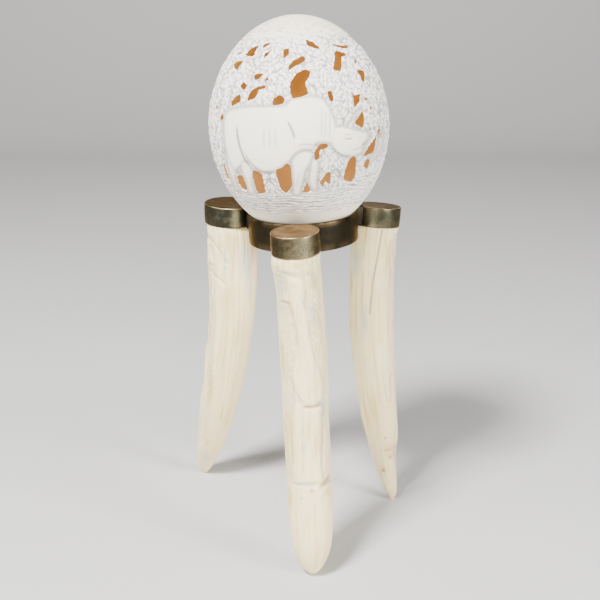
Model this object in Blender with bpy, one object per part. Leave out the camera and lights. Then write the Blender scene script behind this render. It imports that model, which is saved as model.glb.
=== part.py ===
"""Carved ostrich egg standing in a brass ring that three capped tusks hold up.

Run with: blender --background --python part.py
Units are metres, +Z is up and -Y is the front. The stand's axis is first laid out at x = 0, y = 0
with the tips of the tusks on z = 0, and the whole is then slid so that its box is centred.
"""

import math
import random

import bmesh
import bpy
from mathutils import Matrix, Vector
from mathutils.geometry import delaunay_2d_cdt

MM = 0.001
GAP = 0.3 * MM

# Egg: a turned profile, a little blunter at one end, carved right through a thin shell.
EGG_WIDTH = 128 * MM
EGG_HEIGHT = 153.7 * MM
EGG_BOTTOM = 226.2 * MM
EGG_SKEW = 0.0124
EGG_NARROWING = 0.046
SHELL = 2.0 * MM
EGG_COLUMNS = 36
EGG_ROWS = 18
POLE_ANGLE = math.radians(9)
# How near an opening the surface's own points come, in radians.
OPENING_CLEARANCE = 0.042

# The ring that the egg rests in leans a little to the left, and the egg with it.
SEAT_LEAN = math.radians(-2.4)
RING_X = 3.0 * MM
RING_BOTTOM = 223.4 * MM
RING_HEIGHT = 18.4 * MM
RING_RADIUS = 39.8 * MM
RING_EDGE = 0.5 * MM
RING_STEPS = 48
SEAT_DROP = 2.0 * MM
SEAT_GAP = 1.5 * GAP
LUG_WIDTH = 15 * MM
LUG_HEIGHT = 14.4 * MM
LUG_BOTTOM = 3.0 * MM
# How deep a lug runs into the ring's wall.
LUG_ROOT = 1.2 * MM

# Brass caps: oval cups, 120 degrees apart.
CAP_HEIGHT = 15 * MM
CAP_WALL = 1.0 * MM
CAP_ROOF = 2.0 * MM
CAP_EDGE = 0.6 * MM
OVAL_STEPS = 32
# How far the lugs are cut clear of a cap, below its edge and above its top.
CLEAR_BELOW = 12 * MM
CLEAR_ABOVE = 8 * MM

# A tusk is a little deeper, seen from the side, than it is wide.
TUSK_DEPTH_RATIO = 1.1
TUSK_STEPS = 22
TUSK_ROWS = 18
PLUG_EDGE = 1.0 * MM
# The height between a cap's edge and the first section of its tusk.
NECK_HEIGHT = 5 * MM
# Over 1, the rows of a tusk crowd together towards its tip, where it rounds off.
TIP_CROWDING = 1.15

# Each leg: azimuth of its cap, how far out the cap stands, its half length outward and half width
# sideways, the height of its top, its tilt outward and sideways in degrees, and the tusk's
# sections as height, x, y and half width. All lengths are in millimetres.
LEGS = {
    "front": {
        "azimuth": -92.9,
        "cap_out": 65.7,
        "cap_half": (18.0, 16.5),
        "cap_top": 243.8,
        "tilt": (1.2, 3.9),
        "sections": (
            (222, -2.6, -65.3, 16.3),
            (208, -0.7, -64.6, 15.8),
            (183, 1.1, -64.3, 16.1),
            (148, 3.3, -65.6, 16.4),
            (113, 4.5, -69.4, 16.1),
            (85, 6.0, -74.2, 16.1),
            (60, 7.5, -79.4, 16.0),
            (43, 8.0, -83.0, 15.8),
            (25, 8.6, -86.6, 14.3),
            (16, 8.9, -88.2, 12.1),
            (8, 9.2, -89.7, 8.7),
            (3.7, 9.2, -90.4, 6.0),
            (0, 9.2, -90.9, 2.4),
        ),
    },
    "right": {
        "azimuth": 26.5,
        "cap_out": 65.7,
        "cap_half": (18.0, 16.5),
        "cap_top": 240.2,
        "tilt": (6.5, -1.8),
        "sections": (
            (222, 58.0, 29.6, 15.2),
            (209, 56.8, 30.6, 14.9),
            (176, 55.9, 31.3, 15.8),
            (147, 56.2, 31.0, 16.1),
            (117, 58.4, 29.6, 15.6),
            (88, 61.5, 27.5, 14.3),
            (68, 63.9, 25.9, 13.2),
            (52, 66.3, 24.3, 11.6),
            (42, 67.0, 23.8, 9.7),
            (32, 68.5, 22.8, 8.0),
            (17, 71.7, 20.6, 6.1),
            (7, 74.0, 19.0, 4.3),
            (0, 75.0, 18.4, 1.8),
        ),
    },
    "left": {
        "azimuth": 146.5,
        "cap_out": 62.2,
        "cap_half": (21.2, 18.0),
        "cap_top": 240.9,
        "tilt": (-0.9, -2.0),
        "sections": (
            (224, -51.7, 33.9, 17.6),
            (208, -51.0, 33.2, 17.7),
            (176, -51.8, 33.2, 17.3),
            (146, -53.2, 34.5, 16.2),
            (114, -57.8, 39.6, 15.9),
            (91, -61.3, 43.5, 15.1),
            (68, -66.1, 48.9, 14.6),
            (50, -69.9, 53.1, 13.0),
            (31, -74.0, 57.8, 10.9),
            (19, -77.2, 61.3, 8.7),
            (9, -79.4, 63.8, 6.2),
            (4, -80.3, 64.8, 4.2),
            (0, -80.8, 65.3, 1.9),
        ),
    },
}

# The front of the carving is drawn as it is seen from this eye, in a picture of 600 by 600 units.
EYE_BACK = 750 * MM
EYE_HEIGHT = 413.9 * MM
EYE_PITCH = math.radians(17.7)
EYE_FOCAL = 1059.0
PICTURE_MIDDLE = (299.5, 300.0)

CANOPY_OPENINGS = (
    ((290, 83), (294, 76.5), (300, 71), (306.5, 69.5), (310.5, 72), (305.6, 84), (308, 93.5), (292.5, 97.8)),
    ((288, 70.5), (289.5, 64.3), (296, 58.8), (304.8, 55.8), (304.8, 61.2), (295.6, 65.8)),
    ((284, 49), (288.2, 48), (289.6, 52), (287, 56), (283.2, 58)),
    ((305.6, 39.4), (311.7, 41), (320, 47.5), (318.5, 48.6), (308, 45.2)),
    ((327.8, 91), (331.8, 91.8), (334, 98), (332, 101.4), (329, 98.7)),
    ((331, 43.6), (340, 44.6), (348.5, 44.6), (349, 46.8), (342, 47.4)),
    ((336, 50.4), (347, 54.5), (342, 57), (342, 64.3), (340.6, 70.7), (333.8, 69.6), (334.6, 60)),
)
LEFT_LEAF_OPENINGS = (
    ((257.3, 45.2), (255.8, 50.5), (252, 56), (245, 54.4), (249, 49)),
    ((270.6, 42), (268.8, 44.5), (261.8, 47.5), (263.6, 44.2)),
    ((270.8, 50.4), (268.8, 53.8), (264, 57.6), (265, 53.4)),
    ((244.4, 60), (240.5, 63), (236, 69.8), (232.8, 65.8), (234.6, 61.8)),
    ((241.4, 50.6), (239.6, 53.4), (237.4, 53)),
    ((262.8, 72.6), (261.2, 76.6), (255, 80), (254.2, 75)),
    ((266.5, 76.3), (268.6, 79.8), (265, 80.6)),
    ((243.6, 81.8), (246.6, 85.7), (243.6, 89.6), (240.4, 86.5)),
    ((265, 85), (265, 88), (258.9, 90.4), (255, 98), (247.4, 101), (248.4, 94.8), (253, 89)),
    ((239, 94), (240.2, 101), (231.2, 105.8), (231, 101)),
    ((279.5, 94.8), (285, 99.5), (281.8, 104.2), (272.6, 105), (273.6, 98.5)),
)
RIGHT_LEAF_OPENINGS = (
    ((355, 58), (357.6, 61), (356.6, 63.6), (354.6, 61)),
    ((357.5, 69), (364, 70.5), (366.4, 75), (365.2, 80.6), (363, 81), (360.6, 75)),
    ((351.4, 91.2), (354.6, 94.6), (360, 94), (360, 101), (354.4, 107.2), (353.6, 99.5)),
    ((371.6, 105.8), (373, 109), (370.4, 109.6)),
    ((363, 111), (364.9, 119.4), (363, 127.6), (355.2, 123.2), (358.4, 117.8)),
    ((379.9, 125), (381.1, 130), (380.2, 136), (378.8, 130)),
    ((376.4, 135.4), (376.8, 142.4), (374.4, 151.6), (364.4, 156.4), (368.3, 148.5), (372.8, 142.4)),
    ((368.3, 159), (370.8, 161.5), (367.6, 169.4), (364.4, 166.8)),
    ((365.4, 96), (368.4, 99), (366, 100.4)),
)
UNDERFOOT_OPENINGS = (
    ((352.2, 156.8), (356.2, 156.9), (356.2, 167), (354.6, 178.4), (349, 182.2), (343.8, 179), (347.4, 164)),
    ((319.6, 144.6), (327.2, 144), (328, 147.6), (320.4, 151), (319.3, 158.6), (315.3, 160.2), (314.2, 153)),
    ((327.8, 172), (330.7, 173), (330.7, 183), (328.3, 184.6), (325.6, 181.6), (323, 186.2), (320, 182.6)),
    ((307, 182.8), (311, 189.8), (307.9, 192.8), (302.3, 192.2), (304.6, 187.4)),
    (
        (287.4, 163.6), (290.4, 166.2), (291.8, 186), (286.4, 193.4), (280.2, 188.4), (275.6, 170.6),
        (281.8, 167.5),
    ),
    ((252.8, 170.6), (260.5, 173), (263.6, 180.6), (264.8, 193), (258, 193.3), (253.6, 183)),
    ((239, 175.2), (242.2, 176.8), (246.8, 190), (241.2, 189.2), (237.4, 182), (236.4, 177.4)),
)
SIDE_OPENINGS = (
    ((221.2, 163.6), (224.2, 166), (230.3, 183.9), (226.5, 179.2)),
    ((221.4, 113.8), (222.8, 118), (220.6, 121.2), (219.2, 117.6)),
    ((219.9, 84.6), (220.6, 86.6), (218.8, 89), (218.2, 87)),
    ((216.2, 103.6), (216.9, 108), (215.6, 112.4), (214.9, 108)),
)

# Behind, where the front view ends, leaf-shaped openings stand in rows: each row is its angle up
# from the egg's bottom and the azimuth, from the front, where it starts. It ends as far round on
# the other side, and has as many leaves on either side, so none lies across the middle behind.
# A leaf that would be seen through an opening of the front is left solid.
BACK_ROWS = ((47, 84), (63, 93), (79, 84), (95, 92), (111, 85), (127, 91))
BACK_SPACING = 17.5 * MM
LEAF_LONG = (4.2 * MM, 6.6 * MM)
LEAF_WIDE = (1.7 * MM, 2.8 * MM)
LEAF_SLANT = (20, 160)
LEAF_SHIFT = 1.5 * MM
LEAF_RISE = 0.04
LEAF_SEED = 9
LEAF_HIDDEN_BY = 0.8
# A leaf's corners, as shares of its half length and half width.
LEAF_CORNERS = ((1, 0), (0.35, 0.95), (-0.4, 0.85), (-1, 0.1), (-0.45, -0.9), (0.3, -0.85))

# Base colour, roughness and metallic of each finish.
FINISHES = {
    "carved_shell": ((0.84, 0.80, 0.70, 1.0), 0.55, 0.0),
    "tusk_ivory": ((0.82, 0.76, 0.62, 1.0), 0.45, 0.0),
    "dark_brass": ((0.17, 0.14, 0.08, 1.0), 0.38, 1.0),
    "bronze_brass": ((0.34, 0.26, 0.15, 1.0), 0.34, 1.0),
}


def clear_scene():
    """Removes whatever the startup scene holds."""
    for item in list(bpy.data.objects):
        bpy.data.objects.remove(item, do_unlink=True)


def finish(name):
    """Returns the material of a finish, made once."""
    material = bpy.data.materials.get(name)
    if material:
        return material
    colour, roughness, metallic = FINISHES[name]
    material = bpy.data.materials.new(name)
    material.use_nodes = True
    shader = material.node_tree.nodes["Principled BSDF"]
    shader.inputs["Base Color"].default_value = colour
    shader.inputs["Roughness"].default_value = roughness
    shader.inputs["Metallic"].default_value = metallic
    material.diffuse_color = colour
    return material


def new_object(name, mesh_maker, finish_name, smooth_angle=35):
    """Turns a bmesh into an object with smooth shading between its edges."""
    mesh = bpy.data.meshes.new(name)
    mesh_maker.to_mesh(mesh)
    mesh_maker.free()
    mesh.materials.append(finish(finish_name))
    mesh.shade_smooth()
    mesh.set_sharp_from_angle(angle=math.radians(smooth_angle))
    piece = bpy.data.objects.new(name, mesh)
    bpy.context.scene.collection.objects.link(piece)
    return piece


def loft(rings):
    """Skins a row of rings that have equal numbers of points, and closes both ends."""
    maker = bmesh.new()
    rows = [[maker.verts.new(point) for point in ring] for ring in rings]
    for lower, upper in zip(rows, rows[1:]):
        for index in range(len(lower)):
            after = (index + 1) % len(lower)
            maker.faces.new((lower[index], lower[after], upper[after], upper[index]))
    maker.faces.new(list(reversed(rows[0])))
    maker.faces.new(rows[-1])
    bmesh.ops.recalc_face_normals(maker, faces=maker.faces)
    return maker


def seat_frame():
    """Returns the frame of the leaning ring: its origin is the middle of the ring's bottom."""
    return Matrix.Translation((RING_X, 0, RING_BOTTOM)) @ Matrix.Rotation(SEAT_LEAN, 4, "Y")


def egg_frame():
    """Returns the egg's frame, which leans with the ring: its origin is the egg's bottom."""
    return seat_frame() @ Matrix.Translation((0, 0, EGG_BOTTOM - RING_BOTTOM))


def egg_profile(angle):
    """Returns radius and height above the bottom at an angle up from the egg's bottom."""
    rise = -math.cos(angle)
    width = math.exp(EGG_SKEW * rise - EGG_NARROWING * rise * rise)
    return EGG_WIDTH / 2 * math.sin(angle) * width, EGG_HEIGHT / 2 * (1 + rise)


def egg_radius(height):
    """Returns the egg's outer radius at a height above its bottom, or 0 beyond its ends."""
    rise = 2 * height / EGG_HEIGHT - 1
    if abs(rise) >= 1:
        return 0.0
    return egg_profile(math.acos(-rise))[0]


def shell_point(azimuth, angle, depth):
    """Returns a point at a depth below the egg's surface, with azimuth 0 at the front."""
    step = 1e-4
    radius, height = egg_profile(angle)
    ahead, above = egg_profile(angle + step)
    behind, below = egg_profile(angle - step)
    along = Vector((ahead - behind, above - below)).normalized()
    radius -= along.y * depth
    height += along.x * depth
    return Vector((radius * math.sin(azimuth), -radius * math.cos(azimuth), height))


def picture_ray(x, y):
    """Returns the eye and the direction in which it sees a point of the picture."""
    eye = Vector((0, -EYE_BACK, EYE_HEIGHT))
    ahead = Vector((0, math.cos(EYE_PITCH), -math.sin(EYE_PITCH)))
    up = Vector((0, math.sin(EYE_PITCH), math.cos(EYE_PITCH)))
    across = (x - PICTURE_MIDDLE[0]) / EYE_FOCAL
    down = (y - PICTURE_MIDDLE[1]) / EYE_FOCAL
    return eye, (ahead + Vector((across, 0, 0)) - up * down).normalized()


def seen_on_egg(x, y):
    """Returns azimuth and angle of the point of the egg that a point of the picture shows."""
    to_egg = egg_frame().inverted()
    eye, direction = picture_ray(x, y)
    eye = to_egg @ eye
    direction = to_egg.to_3x3() @ direction
    near, far, step = 0.0, EYE_BACK, 2 * MM
    while near < far:
        point = eye + direction * near
        if math.hypot(point.x, point.y) < egg_radius(point.z):
            break
        near += step
    low, high = near - step, near
    for _ in range(30):
        middle = (low + high) / 2
        point = eye + direction * middle
        if math.hypot(point.x, point.y) < egg_radius(point.z):
            high = middle
        else:
            low = middle
    point = eye + direction * high
    rise = max(-1.0, min(1.0, 2 * point.z / EGG_HEIGHT - 1))
    return math.atan2(point.x, -point.y), math.acos(-rise)


def back_openings():
    """Returns the outlines of the leaf-shaped openings behind, as azimuths and angles."""
    chance = random.Random(LEAF_SEED)
    outlines = []
    for angle, start in BACK_ROWS:
        middle = math.radians(angle)
        radius = egg_profile(middle)[0]
        half_turn = math.pi - math.radians(start)
        half_count = max(1, round(radius * half_turn / BACK_SPACING))
        for index in range(-half_count, half_count):
            azimuth = math.pi + half_turn * (index + 0.5) / half_count
            azimuth += chance.uniform(-LEAF_SHIFT, LEAF_SHIFT) / radius
            long = chance.uniform(*LEAF_LONG)
            wide = chance.uniform(*LEAF_WIDE)
            slant = math.radians(chance.uniform(*LEAF_SLANT))
            rise = middle + chance.uniform(-LEAF_RISE, LEAF_RISE)
            behind = 2 * math.pi if index >= 0 else 0
            outline = leaf_outline(azimuth - behind, rise, long, wide, slant)
            if not seen_through(outline):
                outlines.append(outline)
    return outlines


def leaf_outline(azimuth, angle, long, wide, slant):
    """Returns a pointed leaf of six points, as azimuths and angles on the egg."""
    radius = egg_profile(angle)[0]
    outline = []
    for along, beside in LEAF_CORNERS:
        across = along * long * math.cos(slant) - beside * wide * math.sin(slant)
        up = along * long * math.sin(slant) + beside * wide * math.cos(slant)
        outline.append((azimuth + across / radius, angle + up / (EGG_HEIGHT / 2)))
    return outline


def picture_point(point):
    """Returns where the eye sees a point, in the picture's units."""
    offset = point - Vector((0, -EYE_BACK, EYE_HEIGHT))
    ahead = offset.y * math.cos(EYE_PITCH) - offset.z * math.sin(EYE_PITCH)
    up = offset.y * math.sin(EYE_PITCH) + offset.z * math.cos(EYE_PITCH)
    scale = EYE_FOCAL / ahead
    return PICTURE_MIDDLE[0] + offset.x * scale, PICTURE_MIDDLE[1] - up * scale


def seen_through(outline):
    """Tells whether the eye sees a leaf of the far wall through an opening of the front."""
    leaf = [picture_point(egg_frame() @ shell_point(*spot, SHELL)) for spot in outline]
    for opening in front_openings():
        if any(inside(spot, opening) or near_outline(spot, opening, LEAF_HIDDEN_BY) for spot in leaf):
            return True
        if any(inside(spot, leaf) or near_outline(spot, leaf, LEAF_HIDDEN_BY) for spot in opening):
            return True
    return False


def inside(point, outline):
    """Tells whether a point lies inside a closed outline."""
    x, y = point
    crossed = False
    for (x0, y0), (x1, y1) in zip(outline, outline[1:] + outline[:1]):
        if (y0 > y) != (y1 > y) and x < x0 + (x1 - x0) * (y - y0) / (y1 - y0):
            crossed = not crossed
    return crossed


def near_outline(point, outline, reach):
    """Tells whether a point is within reach of an outline's corners or sides."""
    spot = Vector(point)
    for start, end in zip(outline, outline[1:] + outline[:1]):
        start, end = Vector(start), Vector(end)
        side = end - start
        share = max(0.0, min(1.0, (spot - start).dot(side) / side.length_squared))
        if (start + side * share - spot).length < reach:
            return True
    return False


def front_openings():
    """Returns the outlines of the openings in front, as they are drawn in the picture."""
    groups = (
        CANOPY_OPENINGS,
        LEFT_LEAF_OPENINGS,
        RIGHT_LEAF_OPENINGS,
        UNDERFOOT_OPENINGS,
        SIDE_OPENINGS,
    )
    return [outline for group in groups for outline in group]


def opening_outlines():
    """Returns the outline of every opening, as azimuths and angles on the egg."""
    front = [[seen_on_egg(x, y) for x, y in outline] for outline in front_openings()]
    return front + back_openings()


def free_spots(outlines):
    """Returns the grid of the unrolled egg, without what lies in or near an opening."""
    spots = []
    for row in range(EGG_ROWS + 1):
        angle = POLE_ANGLE + (math.pi - 2 * POLE_ANGLE) * row / EGG_ROWS
        for column in range(EGG_COLUMNS + 1):
            spot = (-math.pi + 2 * math.pi * column / EGG_COLUMNS, angle)
            taken = any(
                inside(spot, outline) or near_outline(spot, outline, OPENING_CLEARANCE)
                for outline in outlines
            )
            if column in (0, EGG_COLUMNS) or not taken:
                spots.append(Vector(spot))
    return spots


def map_key(spot):
    """Returns a spot's key. The two edges of the unrolled egg meet behind, so they share keys."""
    azimuth = -math.pi if spot[0] > math.pi - 1e-6 else spot[0]
    return round(azimuth, 6), round(spot[1], 6)


def build_egg():
    """Makes the hollow egg: one triangulated map, laid on its outer and on its inner side."""
    outlines = opening_outlines()
    spots = free_spots(outlines)
    sides = []
    for outline in outlines:
        first = len(spots)
        count = len(outline)
        spots += [Vector(spot) for spot in outline]
        sides += [(first + index, first + (index + 1) % count) for index in range(count)]
    placed, _, triangles, _, _, _ = delaunay_2d_cdt(spots, sides, [], 0, 1e-7)

    maker = bmesh.new()
    outer, inner = ({}, 0.0), ({}, SHELL)
    for corners, depth in (outer, inner):
        for spot in placed:
            key = map_key(spot)
            if key not in corners:
                corners[key] = maker.verts.new(shell_point(*key, depth))
    for triangle in triangles:
        middle = sum((placed[index] for index in triangle), Vector((0, 0))) / 3
        if any(inside(middle, outline) for outline in outlines):
            continue
        keys = [map_key(placed[index]) for index in triangle]
        maker.faces.new([outer[0][key] for key in keys])
        maker.faces.new([inner[0][key] for key in reversed(keys)])
    for corners, depth in (outer, inner):
        for angle, end in ((POLE_ANGLE, 0.0), (math.pi - POLE_ANGLE, math.pi)):
            rim = sorted(key for key in corners if abs(key[1] - angle) < 1e-5)
            pole = maker.verts.new(shell_point(0, end, depth))
            for key, after in zip(rim, rim[1:] + rim[:1]):
                maker.faces.new((corners[key], corners[after], pole))
    for outline in outlines:
        keys = [map_key(Vector(spot)) for spot in outline]
        for key, after in zip(keys, keys[1:] + keys[:1]):
            maker.faces.new((outer[0][key], outer[0][after], inner[0][after], inner[0][key]))
    loose = [vert for vert in maker.verts if not vert.link_faces]
    bmesh.ops.delete(maker, geom=loose, context="VERTS")
    bmesh.ops.triangulate(maker, faces=maker.faces)
    bmesh.ops.recalc_face_normals(maker, faces=maker.faces)
    maker.transform(egg_frame())
    return new_object("egg", maker, "carved_shell")


def spin_profile(profile, steps):
    """Turns a closed profile of radius and height pairs around the z axis."""
    maker = bmesh.new()
    corners = [maker.verts.new((radius, 0, height)) for radius, height in profile]
    sides = [maker.edges.new((a, b)) for a, b in zip(corners, corners[1:] + corners[:1])]
    bmesh.ops.spin(
        maker,
        geom=corners + sides,
        cent=(0, 0, 0),
        axis=(0, 0, 1),
        angle=math.tau,
        steps=steps,
        use_merge=True,
    )
    bmesh.ops.remove_doubles(maker, verts=maker.verts, dist=1e-7)
    bmesh.ops.recalc_face_normals(maker, faces=maker.faces)
    return maker


def ring_profile():
    """Returns the ring's section: a thin wall whose inner top edge follows the egg."""
    top = RING_HEIGHT
    to_egg = RING_BOTTOM - EGG_BOTTOM
    seat_top = egg_radius(top + to_egg) + SEAT_GAP
    seat_low = egg_radius(top - SEAT_DROP + to_egg) + SEAT_GAP
    return (
        (RING_RADIUS - RING_EDGE, 0),
        (RING_RADIUS, RING_EDGE),
        (RING_RADIUS, top - RING_EDGE),
        (RING_RADIUS - RING_EDGE, top),
        (seat_top, top),
        (seat_low, top - SEAT_DROP),
        (seat_low, 0),
    )


def cap_frame(leg):
    """Returns a cap's frame: its top's middle, with x pointing outward from the ring."""
    azimuth = math.radians(leg["azimuth"])
    out = leg["cap_out"] * MM
    place = Vector((math.cos(azimuth) * out, math.sin(azimuth) * out, leg["cap_top"] * MM))
    outward, sideways = (math.radians(angle) for angle in leg["tilt"])
    turn = Matrix.Rotation(azimuth, 4, "Z")
    lean = Matrix.Rotation(outward, 4, "Y") @ Matrix.Rotation(sideways, 4, "X")
    return Matrix.Translation(place) @ turn @ lean


def oval(frame, deep, across, height, steps=OVAL_STEPS):
    """Returns the points of an oval that lies level in a frame."""
    points = []
    for index in range(steps):
        turn = math.tau * index / steps
        points.append(frame @ Vector((deep * math.cos(turn), across * math.sin(turn), height)))
    return points


def build_cap(name, leg):
    """Makes a brass cup that is open below, over the end of a tusk."""
    frame = cap_frame(leg)
    deep, across = (half * MM for half in leg["cap_half"])
    rings = [
        oval(frame, deep - CAP_WALL, across - CAP_WALL, -CAP_ROOF),
        oval(frame, deep - CAP_WALL, across - CAP_WALL, -CAP_HEIGHT),
        oval(frame, deep, across, -CAP_HEIGHT),
        oval(frame, deep, across, -CAP_EDGE),
        oval(frame, deep - CAP_EDGE, across - CAP_EDGE, 0),
    ]
    return new_object(name, loft(rings), "bronze_brass")


def smooth_section(sections, height):
    """Returns x, y and half width of a tusk at a height, on a smooth curve through its sections."""
    last = len(sections) - 1
    for index in range(last):
        if sections[index][0] >= height >= sections[index + 1][0]:
            break
    before, start = sections[max(index - 1, 0)], sections[index]
    end, after = sections[index + 1], sections[min(index + 2, last)]
    span = start[0] - end[0]
    share = (start[0] - height) / span
    values = []
    for item in (1, 2, 3):
        leave = (end[item] - before[item]) / (before[0] - end[0]) * span
        arrive = (after[item] - start[item]) / (start[0] - after[0]) * span
        a = 2 * share**3 - 3 * share**2 + 1
        b = share**3 - 2 * share**2 + share
        c = share**3 - share**2
        values.append(a * start[item] + b * leave + (1 - a) * end[item] + c * arrive)
    return values


def build_tusk(name, leg):
    """Makes a tusk, from the end that fills its cap down to the small flat of its tip."""
    frame = cap_frame(leg)
    deep, across = (half * MM - CAP_WALL - GAP for half in leg["cap_half"])
    shoulder = -CAP_HEIGHT - GAP
    rings = [
        oval(frame, deep - PLUG_EDGE, across - PLUG_EDGE, -CAP_ROOF - GAP, TUSK_STEPS),
        oval(frame, deep, across, -CAP_ROOF - GAP - PLUG_EDGE, TUSK_STEPS),
        oval(frame, deep, across, shoulder, TUSK_STEPS),
    ]
    sections = leg["sections"]
    neck = sections[0][3] * MM
    rings.append(oval(frame, neck * TUSK_DEPTH_RATIO, neck, shoulder - 0.05 * MM, TUSK_STEPS))
    start = leg["cap_top"] - (CAP_HEIGHT + NECK_HEIGHT) / MM
    turn = Matrix.Rotation(math.radians(leg["azimuth"]), 4, "Z")
    for row in range(TUSK_ROWS + 1):
        height = start * (1 - math.sin(row / TUSK_ROWS * math.pi / 2) ** TIP_CROWDING)
        x, y, half = smooth_section(sections, min(height, sections[0][0]))
        place = Matrix.Translation((x * MM, y * MM, height * MM)) @ turn
        rings.append(oval(place, half * TUSK_DEPTH_RATIO * MM, half * MM, 0, TUSK_STEPS))
    return new_object(name, loft(rings), "tusk_ivory", 50)


def box(frame, low, high):
    """Makes a box between two corners in a frame."""
    maker = bmesh.new()
    size = [b - a for a, b in zip(low, high)]
    middle = [(a + b) / 2 for a, b in zip(low, high)]
    place = frame @ Matrix.Translation(middle) @ Matrix.Diagonal((*size, 1))
    bmesh.ops.create_cube(maker, size=1, matrix=place)
    return maker


def cutter(name, maker):
    """Makes a hidden helper object for a Boolean modifier."""
    helper = new_object(name, maker, "dark_brass")
    helper.hide_render = True
    helper.display_type = "WIRE"
    return helper


def combine(piece, helper, operation):
    """Adds a Boolean modifier with the exact solver."""
    change = piece.modifiers.new(f"{operation.lower()} {helper.name}", "BOOLEAN")
    change.operation = operation
    change.solver = "EXACT"
    change.object = helper


def build_ring():
    """Makes the ring with its three lugs, each ending just short of a cap."""
    maker = spin_profile(ring_profile(), RING_STEPS)
    maker.transform(seat_frame())
    ring = new_object("ring", maker, "dark_brass")
    for name, leg in LEGS.items():
        direction = cap_frame(leg).translation - seat_frame().translation
        azimuth = math.atan2(direction.y, direction.x)
        frame = seat_frame() @ Matrix.Rotation(azimuth, 4, "Z")
        reach = math.hypot(direction.x, direction.y)
        deep, across = (half * MM for half in leg["cap_half"])
        low = (RING_RADIUS - LUG_ROOT, -LUG_WIDTH / 2, LUG_BOTTOM)
        high = (reach - deep / 2, LUG_WIDTH / 2, LUG_BOTTOM + LUG_HEIGHT)
        lug = cutter(f"lug_{name}", box(frame, low, high))
        combine(ring, lug, "UNION")
        clear = cap_frame(leg)
        hollow = [
            oval(clear, deep + GAP, across + GAP, -CAP_HEIGHT - CLEAR_BELOW),
            oval(clear, deep + GAP, across + GAP, CLEAR_ABOVE),
        ]
        combine(ring, cutter(f"cap_clearance_{name}", loft(hollow)), "DIFFERENCE")
    return ring


def centre_on_floor(pieces):
    """Slides the whole object so that its box is centred over the origin."""
    bpy.context.view_layer.update()
    corners = [piece.matrix_world @ vert.co for piece in pieces for vert in piece.data.vertices]
    middle_x = (min(c.x for c in corners) + max(c.x for c in corners)) / 2
    middle_y = (min(c.y for c in corners) + max(c.y for c in corners)) / 2
    stand = bpy.data.objects.new("stand_axis", None)
    bpy.context.scene.collection.objects.link(stand)
    stand.location = (-middle_x, -middle_y, 0)
    for piece in list(bpy.context.scene.objects):
        if piece is not stand:
            piece.parent = stand


def main():
    """Builds the object."""
    clear_scene()
    pieces = [build_egg(), build_ring()]
    for name, leg in LEGS.items():
        pieces.append(build_cap(f"cap_{name}", leg))
        pieces.append(build_tusk(f"tusk_{name}", leg))
    centre_on_floor(pieces)


main()
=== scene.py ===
"""Looks of a carved ostrich egg that rests in a brass ring on three capped tusks.

Every size is in metres, +Z is up and -Y is the front. Lengths read more easily in
millimetres, so most are written as a number times MM.
"""

from __future__ import annotations

import logging
import math
import random
from dataclasses import dataclass, field
from enum import Enum
from typing import Iterable, Sequence, Union

import bmesh
import bpy
import numpy as np
from mathutils import Matrix, Vector, noise
from mathutils.geometry import delaunay_2d_cdt


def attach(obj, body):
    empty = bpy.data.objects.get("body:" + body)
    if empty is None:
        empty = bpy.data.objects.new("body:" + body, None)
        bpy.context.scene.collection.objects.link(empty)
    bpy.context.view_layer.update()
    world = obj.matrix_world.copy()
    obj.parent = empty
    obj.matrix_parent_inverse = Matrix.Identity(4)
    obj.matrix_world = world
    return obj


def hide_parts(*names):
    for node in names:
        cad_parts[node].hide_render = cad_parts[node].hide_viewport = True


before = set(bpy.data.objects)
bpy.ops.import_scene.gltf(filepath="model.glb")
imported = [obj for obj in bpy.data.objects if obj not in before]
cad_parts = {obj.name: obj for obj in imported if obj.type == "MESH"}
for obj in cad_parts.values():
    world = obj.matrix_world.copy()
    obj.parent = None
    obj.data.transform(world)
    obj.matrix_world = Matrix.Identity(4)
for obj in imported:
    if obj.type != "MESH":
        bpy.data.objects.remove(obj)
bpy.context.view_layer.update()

MM = 0.001
GAP = 0.3 * MM
LOG = logging.getLogger("carved_egg")

Number = Union[int, float]
Outline = Sequence[tuple[float, float]]
Colour = tuple[float, float, float]

# The stand's own axis, where the frame has it: the box of the whole is centred on the origin.
STAND_AXIS = Vector((3.91 * MM, 15.98 * MM, 0.0))


class Leg(Enum):
    """The three legs of the stand, named by where the eye sees them."""

    FRONT = "front"
    RIGHT = "right"
    LEFT = "left"


class Tone(Enum):
    """The patinas that the brasswork has."""

    RING = "ring"
    DARK = "dark"
    BRONZE = "bronze"
    OLIVE = "olive"


# Shader expressions


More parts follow.
